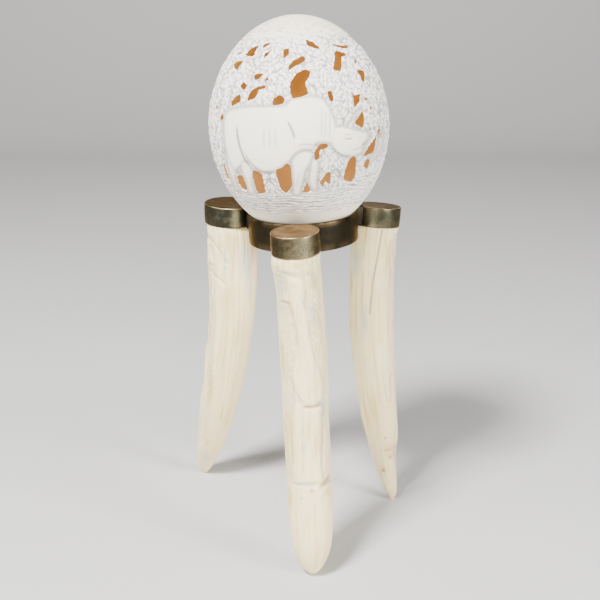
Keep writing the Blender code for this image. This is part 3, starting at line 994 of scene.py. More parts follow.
RIGHT_LEAF_OPENINGS: tuple[Outline, ...] = (
    ((355, 58), (357.6, 61), (356.6, 63.6), (354.6, 61)),
    ((357.5, 69), (364, 70.5), (366.4, 75), (365.2, 80.6), (363, 81), (360.6, 75)),
    ((351.4, 91.2), (354.6, 94.6), (360, 94), (360, 101), (354.4, 107.2), (353.6, 99.5)),
    ((371.6, 105.8), (373, 109), (370.4, 109.6)),
    ((363, 111), (364.9, 119.4), (363, 127.6), (355.2, 123.2), (358.4, 117.8)),
    ((379.9, 125), (381.1, 130), (380.2, 136), (378.8, 130)),
    ((376.4, 135.4), (376.8, 142.4), (374.4, 151.6), (364.4, 156.4), (368.3, 148.5), (372.8, 142.4)),
    ((368.3, 159), (370.8, 161.5), (367.6, 169.4), (364.4, 166.8)),
    ((365.4, 96), (368.4, 99), (366, 100.4)),
)
UNDERFOOT_OPENINGS: tuple[Outline, ...] = (
    (
        (352.2, 156.8), (356.2, 156.9), (356.2, 167), (354.6, 178.4), (349, 182.2), (343.8, 179),
        (347.4, 164),
    ),
    (
        (319.6, 144.6), (327.2, 144), (328, 147.6), (320.4, 151), (319.3, 158.6), (315.3, 160.2),
        (314.2, 153),
    ),
    ((327.8, 172), (330.7, 173), (330.7, 183), (328.3, 184.6), (325.6, 181.6), (323, 186.2), (320, 182.6)),
    ((307, 182.8), (311, 189.8), (307.9, 192.8), (302.3, 192.2), (304.6, 187.4)),
    (
        (287.4, 163.6), (290.4, 166.2), (291.8, 186), (286.4, 193.4), (280.2, 188.4), (275.6, 170.6),
        (281.8, 167.5),
    ),
    ((252.8, 170.6), (260.5, 173), (263.6, 180.6), (264.8, 193), (258, 193.3), (253.6, 183)),
    ((239, 175.2), (242.2, 176.8), (246.8, 190), (241.2, 189.2), (237.4, 182), (236.4, 177.4)),
)
SIDE_OPENINGS: tuple[Outline, ...] = (
    ((221.2, 163.6), (224.2, 166), (230.3, 183.9), (226.5, 179.2)),
    ((221.4, 113.8), (222.8, 118), (220.6, 121.2), (219.2, 117.6)),
    ((219.9, 84.6), (220.6, 86.6), (218.8, 89), (218.2, 87)),
    ((216.2, 103.6), (216.9, 108), (215.6, 112.4), (214.9, 108)),
)
FRONT_OPENINGS: tuple[Outline, ...] = (
    CANOPY_OPENINGS + LEFT_LEAF_OPENINGS + RIGHT_LEAF_OPENINGS + UNDERFOOT_OPENINGS + SIDE_OPENINGS
)


@dataclass(frozen=True)
class BackLeaves:
    """The leaf-shaped openings behind, in rows.

    Each row is its angle up from the egg's bottom and the azimuth where it starts, both in
    degrees. It ends as far round on the other side. A leaf is left solid where it would be seen
    through an opening of the front, or comes within hidden_by picture units of being seen.
    """

    rows: tuple[tuple[float, float], ...] = ((47, 84), (63, 93), (79, 84), (95, 92), (111, 85), (127, 91))
    spacing: float = 17.5 * MM
    long: tuple[float, float] = (4.2 * MM, 6.6 * MM)
    wide: tuple[float, float] = (1.7 * MM, 2.8 * MM)
    slant: tuple[float, float] = (20, 160)
    shift: float = 1.5 * MM
    rise: float = 0.04
    seed: int = 9
    hidden_by: float = 0.8
    corners: Outline = ((1, 0), (0.35, 0.95), (-0.4, 0.85), (-1, 0.1), (-0.45, -0.9), (0.3, -0.85))

    def outlines(self, form: EggForm) -> list[np.ndarray]:
        """Returns the outlines as azimuths and angles.

        Args:
            form: The egg's form.

        Returns:
            The outlines' corners, one array for each opening.
        """
        chance = random.Random(self.seed)
        found = []
        for angle, start in self.rows:
            middle = math.radians(angle)
            radius = float(form.profile(np.array(middle))[0])
            half_turn = math.pi - math.radians(start)
            half_count = max(1, round(radius * half_turn / self.spacing))
            for index in range(-half_count, half_count):
                azimuth = math.pi + half_turn * (index + 0.5) / half_count
                azimuth += chance.uniform(-self.shift, self.shift) / radius
                long = chance.uniform(*self.long)
                wide = chance.uniform(*self.wide)
                slant = math.radians(chance.uniform(*self.slant))
                height = middle + chance.uniform(-self.rise, self.rise)
                leaf = self.leaf(form, azimuth, height, long, wide, slant)
                if not self.seen_through(form, leaf):
                    found.append(leaf)
        return found

    def seen_through(self, form: EggForm, leaf: np.ndarray) -> bool:
        """Tells whether the eye sees a leaf of the far wall through an opening of the front."""
        drawn = EYE.picture(form.lay(leaf[:, 0], leaf[:, 1], form.shell))
        for opening in FRONT_OPENINGS:
            corners = np.array(opening, float)
            if signed_distance(drawn, corners).max() > -self.hidden_by:
                return True
            if signed_distance(corners, drawn).max() > -self.hidden_by:
                return True
        return False

    def leaf(
        self, form: EggForm, azimuth: float, angle: float, long: float, wide: float, slant: float
    ) -> np.ndarray:
        """Returns the corners of one pointed leaf as azimuths and angles."""
        radius = float(form.profile(np.array(angle))[0])
        along = np.array(self.corners, float) * (long, wide)
        across = along[:, 0] * math.cos(slant) - along[:, 1] * math.sin(slant)
        up = along[:, 0] * math.sin(slant) + along[:, 1] * math.cos(slant)
        return np.stack([azimuth + across / radius, angle + up / (form.height / 2)], 1)


@dataclass(frozen=True)
class Carving:
    """The carved relief of the egg's outside, as depths below the uncarved surface.

    The figure is a rhinoceros that walks to the right. Its outlines and lines are drawn as the
    eye sees them, in the picture's units, and one unit is about 0.7 mm on the egg.
    """

    ground_depth: float = 0.8 * MM
    deepest: float = 1.3 * MM
    bevel_depth: float = 0.34 * MM
    bevel_shade: float = 0.75
    fold_shade: float = 2.9
    leaf_relief: float = 0.64 * MM
    leaf_long: float = 5.2 * MM
    leaf_wide: float = 2.3 * MM
    leaf_slants: tuple[float, float] = (math.radians(52), math.radians(118))
    top_angle: float = math.radians(147)
    line_zone: tuple[float, float] = (math.radians(47), math.radians(61))
    line_pitch: float = 2.4 * MM
    line_climb: float = math.radians(9)
    body: Outline = (
        (223.5, 116), (227, 110.5), (238, 107.5), (250, 106), (262, 106.5), (273, 106), (284, 105.5),
        (291, 99.5), (300, 97.3), (310, 95.8), (318, 96.5), (325, 100), (330, 108), (334, 118), (337, 127),
        (335, 138), (331, 144), (326, 143), (319, 143.5), (313, 149.5), (303, 150.5), (296, 154),
        (290, 161.5), (283, 167), (274, 172.5), (262, 173), (253, 169.5), (245, 163), (239, 168),
        (234, 172), (228, 162), (224, 146), (222.6, 130),
    )
    head: Outline = (
        (331, 128), (338, 126.5), (346, 126.5), (354, 129), (362, 130.5), (368, 132), (369.5, 137),
        (365, 145), (363, 152), (357, 156), (349.5, 157), (342, 156.3), (336, 152.5), (332, 147),
        (329.5, 138),
    )
    front_horn: Outline = (
        (365, 152.5), (370, 157.5), (377, 157), (382, 149), (384, 139), (383.5, 128), (381.6, 137),
        (378.4, 138), (378.8, 144), (376, 152), (370, 155),
    )
    rear_horn: Outline = (
        (348, 127.5), (353, 118.5), (359, 109.5), (362.5, 107.5), (357.5, 116.5), (354, 122.5), (354, 129),
    )
    hind_legs: tuple[Outline, ...] = (
        (
            (239, 160), (247, 163), (252.5, 171), (252.6, 183), (255, 195), (248.5, 194), (244.5, 181),
            (241.5, 174.5),
        ),
        (
            (224.5, 150), (230, 160), (236, 172), (235.4, 180), (240, 192), (235, 191), (231, 181),
            (226, 166),
        ),
    )
    fore_legs: tuple[Outline, ...] = (
        (
            (291, 162), (297, 153.5), (306, 151), (313, 153), (311, 163), (306, 172), (304, 181),
            (301.5, 190), (301, 196), (293, 196), (292.8, 185), (291.6, 170),
        ),
        (
            (313, 158), (318.5, 162), (319, 171), (317.6, 181), (317, 192), (311.8, 190), (308.5, 181),
            (310, 170),
        ),
    )
    folds: tuple[tuple[Outline, float, float], ...] = (
        (((236, 122), (237, 135), (239.5, 147), (244, 159), (251, 167.5)), 1.3, 0.45),
        (((243, 150), (248, 160), (256, 168.5), (262, 172.5), (275, 172)), 1.0, 0.30),
        (((286.5, 120), (290, 126), (293.5, 134), (295, 141)), 1.5, 0.35),
        (((296, 146.5), (304, 144.6), (313, 145.2), (320, 143)), 1.2, 0.25),
        (((321.5, 104), (322, 118), (321.5, 131), (321, 142)), 1.1, 0.20),
        (((325, 106), (325.8, 118), (325.4, 131), (324.6, 142)), 1.1, 0.20),
        (((328.6, 110), (330, 119), (330, 130), (328.6, 141)), 1.1, 0.20),
        (((264, 127), (263.6, 138), (264.5, 150)), 1.6, 0.13),
        (((269.5, 127), (269.3, 138), (270.2, 150)), 1.6, 0.13),
        (((275, 128), (274.8, 138), (275.8, 149)), 1.6, 0.13),
        (((344.5, 138.8), (348.5, 139.6), (353, 138.2)), 0.9, 0.40),
        (((343.5, 134.6), (348.5, 135.2), (354, 133.8)), 0.9, 0.18),
        (((333, 147), (336.5, 152.3), (343, 156), (350, 156.6)), 1.1, 0.40),
        (((361, 146.5), (364, 143.5), (368, 142.5)), 1.0, 0.32),
        (((352, 150.5), (358, 148.8), (363, 147)), 0.9, 0.28),
        (((300, 172), (297.5, 181), (297, 190)), 1.0, 0.18),
    )
    trunks: tuple[tuple[Outline, float], ...] = ((((321, 60), (322, 74), (321, 88), (322, 95)), 7.0),)

    def figure_mask(self, spots: np.ndarray) -> tuple[np.ndarray, np.ndarray]:
        """Measures the figure at spots of the picture.

        Args:
            spots: The spots, one row each.

        Returns:
            How far each spot lies within the figure, in picture units, and the depth there of
            the parts that lie behind others, in metres.
        """
        within = np.full(len(spots), -1e3)
        sunk = np.zeros(len(spots))
        layers = [(self.body, 0.0), (self.head, 0.05), (self.front_horn, 0.1), (self.rear_horn, 0.25)]
        layers += [(outline, 0.22) for outline in self.hind_legs + self.fore_legs]
        for outline, depth in layers:
            distance = signed_distance(spots, closed_curve(outline, 1.5))
            better = distance > within
            within = np.where(better, distance, within)
            sunk = np.where(better, depth * MM, sunk)
        return within, sunk

    def leaves(
        self, form: EggForm, azimuth: np.ndarray, angle: np.ndarray, choice: np.ndarray, fine: np.ndarray
    ) -> tuple[np.ndarray, np.ndarray]:
        """Lays two slants of pointed leaves over the egg.

        Args:
            form: The egg's form.
            azimuth: The points' azimuths.
            angle: Their angles.
            choice: A number at each point that picks the slant, above or below 0.
            fine: Fine noise at each point.

        Returns:
            From 0 in the grooves to 1 on the leaves, and each leaf's own height from 0 to 1.
        """
        around = form.profile(angle)[0] * np.sin(azimuth)
        behind = -form.profile(angle)[0] * np.cos(azimuth)
        height = angle * form.height / 2
        leaf = np.zeros(len(azimuth))
        layer = np.zeros(len(azimuth))
        for index, slant in enumerate(self.leaf_slants):
            along = around * math.cos(slant) + height * math.sin(slant) + 0.5 * MM * fine
            beside = -around * math.sin(slant) + height * math.cos(slant) + 0.5 * MM * fine
            spots = np.stack([along, beside, behind * 0.7], 1)
            edge, own = cell_edges(spots, (self.leaf_long, self.leaf_wide, self.leaf_long))
            chosen = choice > 0 if index else choice <= 0
            leaf[chosen] = smooth_step(edge, 0.0, 0.24)[chosen]
            layer[chosen] = own[chosen]
        return leaf, layer

    def depths(self, form: EggForm, azimuth: np.ndarray, angle: np.ndarray) -> dict[str, np.ndarray]:
        """Works out the relief.

        Args:
            form: The egg's form.
            azimuth: The points' azimuths.
            angle: Their angles.

        Returns:
            The depth at each point in metres, and from 0 to 1 how carved it is and how much painted shade
            it gets.
        """
        points = form.lay(azimuth, angle, 0.0)
        spots = EYE.picture(points)
        facing = smooth_step(np.cos(azimuth), 0.05, 0.25)
        soft = noise_at(points, 9 * MM, 2)
        fine = noise_at(points, 2.6 * MM, 3)
        leaf, layer = self.leaves(form, azimuth, angle, noise_at(points, 17 * MM, 2), fine)

        within, sunk = self.figure_mask(spots)
        within = np.where(facing > 0, within, -1e3)
        figure = smooth_step(within, -1.1, 0.5) * facing
        rounded = 1 - smooth_step(within, 0.0, 6.0)

        crown = smooth_step(angle + 0.05 * soft, self.top_angle + 0.06, self.top_angle - 0.06)
        climb = self.line_climb * smooth_step(np.abs(azimuth), 0.35, 1.0)
        climb *= smooth_step(np.cos(azimuth), -0.2, 0.4)
        low, high = self.line_zone[0], self.line_zone[1] + climb
        foot = smooth_step(angle + 0.02 * soft, high - 0.04, high + 0.05)
        lined = smooth_step(angle, low - 0.05, low + 0.03) * (1 - foot)

        carved = crown * foot * (1 - figure)
        foliage = self.ground_depth - self.leaf_relief * leaf * (0.55 + 0.45 * layer) + 0.12 * MM * fine
        moat = np.exp(-np.clip(-within, 0, None) / 2.2) * 0.3 * MM * (within < 0)
        depth = carved * (foliage + moat)

        waver = noise_at(points * (1, 1, 3.5), 8 * MM, 3)
        rise = (angle * form.height / 2 + 0.9 * MM * soft + 1.1 * MM * waver) / self.line_pitch
        waves = 0.5 + 0.5 * np.sin(2 * math.pi * rise + 1.6 * np.sin(azimuth * 7))
        depth += lined * (1 - figure) * (0.1 + 0.65 * waves + 0.2 * fine) * MM

        depth += figure * (sunk + self.bevel_depth * rounded**2)
        for line, width, deep in self.folds:
            depth += facing * figure * deep * MM * soft_stroke(spots, line, width, 0.12)
        for line, width in self.trunks:
            away = line_distance(spots, np.array(line, float), False)
            bark = smooth_step(away, width, width - 2) * facing * carved
            grooves = 0.5 + 0.5 * np.sin(spots[:, 0] * 2.1 + 2.5 * fine)
            depth = depth * (1 - bark) + bark * (0.18 + 0.28 * grooves) * MM
        top = (1 - crown) * smooth_step(angle, math.pi, self.top_angle)
        # Painted shade: the grooves between the leaves and the lines, the moat beside the figure, the
        # small marks at the top, the figure's bevels and its folds are darkened in colour.
        edge = carved * smooth_step(within, -4.5, -0.5)
        crown_marks = top * smooth_step(noise_at(points * (1, 1, 2.5), 4 * MM, 3), 0.0, 0.5) * 0.5
        grooves = np.maximum(carved * (1 - leaf), lined * (1 - figure) * smooth_step(waves, 0.35, 0.95))
        grooves = np.maximum(grooves, 0.55 * edge) + crown_marks
        depth += 0.15 * MM * crown_marks
        bevel = figure * rounded**3 * self.bevel_shade
        strokes = np.zeros(len(spots))
        for line, width, deep in self.folds:
            shade = self.fold_shade * deep * soft_stroke(spots, line, 0.8 * width, 0.25)
            strokes = np.maximum(strokes, facing * figure * shade)
        hollow = np.clip(grooves + bevel + strokes, 0, 1)
        rough = np.clip(carved + 0.6 * lined * (1 - figure) + 0.3 * top, 0, 1)
        skin = np.clip((1 - crown) + smooth_step(angle, low + 0.04, low - 0.06), 0, 1)
        return {"depth": np.clip(depth, 0, self.deepest), "carved": rough, "hollow": hollow, "skin": skin}


@dataclass
class CarvedEgg:
    """The carved shell: outside, inside and the cut edges of its openings."""

    form: EggForm = field(default_factory=EggForm)
    carving: Carving = field(default_factory=Carving)
    leaves: BackLeaves = field(default_factory=BackLeaves)
    outside_points: int = 82000
    inside_points: int = 6500
    front_crowding: float = 0.72
    raggedness: float = 0.7
    ragged_size: float = 3.2
    picture_unit: float = 0.7 * MM
    edge_step: float = 0.62 * MM
    pale_zone: tuple[float, float] = (math.radians(50), math.radians(105))
    pole_angle: float = math.radians(2.5)
    pole_steps: int = 24

    def openings(self) -> list[tuple[np.ndarray, np.ndarray]]:
        """Returns each opening's outline as azimuths and angles."""
        found = []
        for outline in FRONT_OPENINGS:
            drawn = closed_curve(outline, self.edge_step / self.picture_unit)
            flat = np.column_stack([drawn, np.zeros(len(drawn))])
            drawn[:, 0] += self.raggedness * noise_at(flat, self.ragged_size, 2)
            drawn[:, 1] += self.raggedness * noise_at(flat + 50, self.ragged_size, 2)
            found.append(self.form.seen(drawn))
        step = self.edge_step / (self.form.height / 2)
        for outline in self.leaves.outlines(self.form):
            drawn = closed_curve(outline, step)
            found.append((drawn[:, 0], drawn[:, 1]))
        return found

    def spread(self, count: int) -> np.ndarray:
        """Spreads points over the egg, more closely at the front.

        Args:
            count: The number of points.

        Returns:
            Their azimuths and angles, one row each.
        """
        index = np.arange(count) + 0.5
        ahead = 1 - 2 * index / count
        turn = index * math.pi * (3 - math.sqrt(5))
        away = 2 * np.arctan(self.front_crowding * np.tan(np.arccos(ahead) / 2))
        x, z = np.sin(away) * np.cos(turn), np.sin(away) * np.sin(turn)
        places = np.stack([np.arctan2(x, np.cos(away)), np.arccos(-np.clip(z, -1, 1))], 1)
        return places[places[:, 1] > self.pole_angle * 1.4]

    def skin(
        self, outlines: list[tuple[np.ndarray, np.ndarray]], count: int, clear: float
    ) -> tuple[np.ndarray, np.ndarray]:
        """Triangulates the egg between its openings.

        Args:
            outlines: The openings' outlines.
            count: The number of points between them.
            clear: How near to an outline a point may lie, as a share of the points' spacing.

        Returns:
            The points' azimuths and angles, which start with the outlines' points and then the
            pole's ring, and the triangles, wound to face outward.
        """
        turns = np.arange(self.pole_steps) / self.pole_steps * math.tau
        pole = np.stack([turns, np.full(self.pole_steps, self.pole_angle)], 1)
        edge = np.concatenate([np.stack(outline, 1) for outline in outlines])
        between = self.spread(count)
        flat = to_map(between[:, 0], between[:, 1])
        keep = np.ones(len(flat), bool)
        cut = []
        for azimuth, angle in outlines:
            line = to_map(azimuth, angle)
            cut.append(line)
            middle = line.mean(0)
            scale = 2 / (1 + float(middle @ middle))
            spacing = clear * math.sqrt(4 * math.pi / count) / scale
            reach = float(np.hypot(*(line - middle).T).max()) + 4 * spacing
            near = np.flatnonzero(np.hypot(*(flat - middle).T) < reach)
            distance = signed_distance(flat[near], line)
            keep[near[distance > -spacing]] = False
        spots = np.concatenate([edge, pole, between[keep]])
        flat = to_map(spots[:, 0], spots[:, 1])
        sides = []
        first = 0
        for line in cut:
            size = len(line)
            sides += [(first + item, first + (item + 1) % size) for item in range(size)]
            first += size
        mended = delaunay_2d_cdt([Vector(spot) for spot in flat], sides, [], 0, 1e-9)
        faces, origin = mended[2:4]
        source = np.array([items[0] for items in origin])
        triangles = source[np.array(faces)]
        middles = flat[triangles].mean(1)
        solid = np.ones(len(triangles), bool)
        for line in cut:
            low, high = line.min(0), line.max(0)
            near = np.flatnonzero(((middles > low) & (middles < high)).all(1))
            solid[near[inside(middles[near], line)]] = False
        return spots, triangles[solid][:, ::-1]

    def build(self) -> bpy.types.Object:
        """Makes the egg's mesh, with its finishes."""
        outlines = self.openings()
        rim = sum(len(azimuth) for azimuth, _ in outlines)
        outer, outer_faces = self.skin(outlines, self.outside_points, 0.55)
        ends = [self.form.slanted(azimuth, angle) for azimuth, angle in outlines]
        inner, inner_faces = self.skin(ends, self.inside_points, 0.35)
        relief = self.carving.depths(self.form, outer[:, 0], outer[:, 1])
        outside = self.form.lay(outer[:, 0], outer[:, 1], relief["depth"])
        within = self.form.lay(inner[:, 0], inner[:, 1], self.form.shell)
        base = len(outside)
        faces = [tuple(face) for face in outer_faces]
        faces += [tuple(base + face[::-1]) for face in inner_faces]
        slots = [0] * len(outer_faces) + [1] * len(inner_faces)
        first = 0
        for azimuth, _ in outlines:
            size = len(azimuth)
            for item in range(size):
                after = first + (item + 1) % size
                here = first + item
                faces.append((here, base + here, base + after, after))
                slots.append(2)
            first += size
        for start, flip in ((rim, False), (base + rim, True)):
            ring = list(range(start, start + self.pole_steps))
            faces.append(ring if flip else ring[::-1])
            slots.append(1 if flip else 0)
        masks = {}
        for key in ("carved", "hollow", "skin"):
            masks[key] = np.concatenate([relief[key], np.zeros(len(within))])
        low = smooth_step(inner[:, 1], self.pale_zone[1], self.pale_zone[0])
        masks["low"] = np.concatenate([np.zeros(len(outside)), low])
        materials = [ShellFinish().material(), InsideFinish().material(), CutFinish().material()]
        piece = mesh_object(
            "egg_carved", np.concatenate([outside, within]), faces, materials, np.array(slots), masks, 60
        )
        face_outward(piece)
        return install(piece, "egg")


# The legs: capped tusks


@dataclass(frozen=True)
class LegForm:
    """Where a leg stands, and the sections of its tusk.

    The cap stands so far out from the stand's axis, and has a half length outward and a half
    width sideways. Its tilts, outward and sideways, are in degrees. A section is its height, the
    x and y of its middle from the stand's axis, and its half width, all in millimetres.
    """

    azimuth: float
    cap_out: float
    cap_half: tuple[float, float]
    cap_top: float
    tilt: tuple[float, float]
    sections: tuple[tuple[float, float, float, float], ...]

    def cap_frame(self) -> Matrix:
        """Returns the cap's frame: the middle of its top, with x pointing outward."""
        turn = math.radians(self.azimuth)
        flat = Vector((math.cos(turn), math.sin(turn), 0)) * self.cap_out * MM
        place = STAND_AXIS + flat + Vector((0, 0, self.cap_top * MM))
        outward, sideways = (math.radians(angle) for angle in self.tilt)
        lean = Matrix.Rotation(outward, 4, "Y") @ Matrix.Rotation(sideways, 4, "X")
        return Matrix.Translation(place) @ Matrix.Rotation(turn, 4, "Z") @ lean

    def section(self, height: float) -> tuple[float, float, float]:
        """Returns x, y and half width at a height, on a smooth curve through the sections."""
        rows = self.sections
        height = min(height, rows[0][0])
        last = len(rows) - 1
        index = next(i for i in range(last) if rows[i][0] >= height >= rows[i + 1][0])
        before, start = rows[max(index - 1, 0)], rows[index]
        end, after = rows[index + 1], rows[min(index + 2, last)]
        span = start[0] - end[0]
        share = (start[0] - height) / span
        a, b, c = ease_weights(share)
        values = []
        for item in (1, 2, 3):
            leave = (end[item] - before[item]) / (before[0] - end[0]) * span
            arrive = (after[item] - start[item]) / (start[0] - after[0]) * span
            values.append(a * start[item] + b * leave + (1 - a) * end[item] + c * arrive)
        return values[0], values[1], values[2]


LEGS: dict[Leg, LegForm] = {
    Leg.FRONT: LegForm(
        -92.9,
        65.7,
        (18.0, 16.5),
        243.8,
        (1.2, 3.9),
        (
            (222, -2.6, -65.3, 16.3),
            (208, -0.7, -64.6, 15.8),
            (183, 1.1, -64.3, 16.1),
            (148, 3.3, -65.6, 16.4),
            (113, 4.5, -69.4, 16.1),
            (85, 6.0, -74.2, 16.1),
            (60, 7.5, -79.4, 16.0),
            (43, 8.0, -83.0, 15.8),
            (25, 8.6, -86.6, 14.3),
            (16, 8.9, -88.2, 12.1),
            (8, 9.2, -89.7, 8.7),
            (3.7, 9.2, -90.4, 6.0),
            (0, 9.2, -90.9, 2.4),
        ),
    ),
    Leg.RIGHT: LegForm(
        26.5,
        65.7,
        (18.0, 16.5),
        240.2,
        (6.5, -1.8),
        (
            (222, 57.3, 29.9, 16.1),
            (209, 56.0, 30.9, 15.9),
            (176, 55.7, 31.4, 16.0),
            (147, 56.2, 31.0, 16.1),
            (117, 58.4, 29.6, 15.6),
            (88, 61.5, 27.5, 14.3),
            (68, 63.9, 25.9, 13.2),
            (52, 66.3, 24.3, 11.6),
            (42, 67.0, 23.8, 9.7),
            (32, 68.5, 22.8, 8.0),
            (17, 71.7, 20.6, 6.1),
            (7, 74.0, 19.0, 4.3),
            (0, 75.0, 18.4, 1.8),
        ),
    ),
    Leg.LEFT: LegForm(
        146.5,
        62.2,
        (21.2, 18.0),
        240.9,
        (-0.9, -2.0),
        (
            (224, -51.7, 33.9, 17.6),
            (208, -51.0, 33.2, 17.7),
            (176, -51.8, 33.2, 17.3),
            (146, -53.2, 34.5, 16.2),
            (114, -57.8, 39.6, 15.9),
            (91, -61.3, 43.5, 15.1),
            (68, -66.1, 48.9, 14.6),
            (50, -69.9, 53.1, 13.0),
            (31, -74.0, 57.8, 10.9),
            (19, -77.2, 61.3, 8.7),
            (9, -79.4, 63.8, 6.2),
            (4, -80.3, 64.8, 4.2),
            (0, -80.8, 65.3, 1.9),
        ),
    ),
}


def oval(place: Matrix, deep: float, across: float, height: float, steps: int) -> np.ndarray:
    """Returns the points of an oval that lies level in a frame.

    Args:
        place: The frame, whose x points outward from the stand.
        deep: The half length along x.
        across: The half length along y.
        height: The height in the frame.
        steps: The number of points.

    Returns:
        The points, one row each.
    """
    turns = np.arange(steps) / steps * math.tau
    local = np.stack([deep * np.cos(turns), across * np.sin(turns), np.full(steps, height)], 1)
    return moved(local, place)


def loft_faces(rows: int, steps: int, ends: tuple[bool, bool] = (True, True)) -> list[Sequence[int]]:
    """Returns the faces of a skin over rings of equal numbers of points.

    Args:
        rows: The number of rings.
        steps: The number of points in each.
        ends: Whether the first and the last ring are closed.

    Returns:
        The faces, as indices of points.
    """
    faces: list[Sequence[int]] = []
    for row in range(rows - 1):
        for column in range(steps):
            after = (column + 1) % steps
            low, high = row * steps, (row + 1) * steps
            faces.append((low + column, high + column, high + after, low + after))
    if ends[0]:
        faces.append(list(range(steps)))
    if ends[1]:
        faces.append(list(range((rows - 1) * steps, rows * steps))[::-1])
    return faces


def face_outward(piece: bpy.types.Object) -> None:
    """Turns the faces of a closed mesh outward."""
    shape = bmesh.new()
    shape.from_mesh(piece.data)
    bmesh.ops.recalc_face_normals(shape, faces=shape.faces)
    shape.to_mesh(piece.data)
    shape.free()


@dataclass(frozen=True)
class Cap:
    """A brass cup that is open below, over the end of a tusk.

    A bar of painted highlight is a leg, and the middle and half width of the bar in picture units.
    """

    height: float = 15 * MM
    wall: float = 1.0 * MM
    roof: float = 2.0 * MM
    edge: float = 0.9 * MM
    steps: int = 128
    raggedness: float = 0.35 * MM
    dent: float = 0.12 * MM
    dent_size: float = 11 * MM
    highlight_bars: tuple[tuple[Leg, float, float], ...] = (
        (Leg.FRONT, 302, 12),
        (Leg.RIGHT, 371, 8),
        (Leg.LEFT, 235.5, 4.5),
    )

    def build(self, leg: Leg, tone: Tone) -> bpy.types.Object:
        """Makes a leg's cap.

        Args:
            leg: The leg.
            tone: The cap's patina.

        Returns:
            The cap.
        """
        place = LEGS[leg].cap_frame()
        deep, across = (half * MM for half in LEGS[leg].cap_half)
        low = self.wall
        profile = [
            (low, -self.roof, 0.0),
            (low, -self.height + 0.2 * MM, 0.0),
            (0.5 * self.wall, -self.height, 1.0),
            (0.12 * MM, -self.height + 0.08 * MM, 1.0),
            (0.0, -self.height + 0.4 * MM, 0.7),
            (-0.12 * MM, -self.height + 1.2 * MM, 0.1),
            (-0.22 * MM, -self.height * 0.7, 0.0),
            (-0.22 * MM, -self.height * 0.4, 0.0),
            (-0.08 * MM, -3 * self.edge, 0.1),
        ]
        for share in np.linspace(0, 1, 6):
            turn = share * math.pi / 2
            inset = self.edge * (1 - math.cos(turn))
            profile.append((inset, -self.edge * (1 - math.sin(turn)), 0.25 + 0.75 * math.sin(2 * turn)))
        profile.append((self.edge + 1.5 * MM, 0.02 * MM, 0.62))
        profile.append((across * 0.5, -0.12 * MM, 0.6))
        profile.append((across * 0.8, -0.15 * MM, 0.6))
        # Wear along the profile, which on the right cap also places the painted reflection on the top and
        # the painted highlight on the rim.
        rings, worn = [], []
        for inset, height, rubbed_and_reflected in profile:
            ring = oval(place, deep - inset, across - inset, height, self.steps)
            if abs(height + self.height) < 0.5 * MM:
                ring[:, 2] += self.raggedness * noise_at(ring, 4 * MM, 3)
            dents = noise_at(ring, self.dent_size, 2)
            ring[:, 2] += self.dent * dents * (height > -1 * MM)
            rings.append(ring)
            worn.append(np.clip(rubbed_and_reflected + 0.4 * rubbed_and_reflected * dents, 0, 1))
        faces = loft_faces(len(rings), self.steps)
        points = np.concatenate(rings)
        seen = EYE.picture(points)[:, 0]
        polish = np.zeros(len(points))
        # Painted highlight: a bright bar down the side of the cap that faces the eye.
        for own, middle, width in self.highlight_bars:
            if own is leg:
                polish = np.exp(-(((seen - middle) / width) ** 2)) * (points[:, 1] < place.translation.y)
        material = BRASSES[tone].material(f"cap_brass_{leg.value}")
        piece = mesh_object(
            f"cap_{leg.value}_brass",
            points,
            faces,
            [material],
            masks={"worn": np.concatenate(worn), "polish": polish},
            smooth_angle=50,
        )
        face_outward(piece)
        return install(piece, f"cap_{leg.value}")


CAP = Cap()


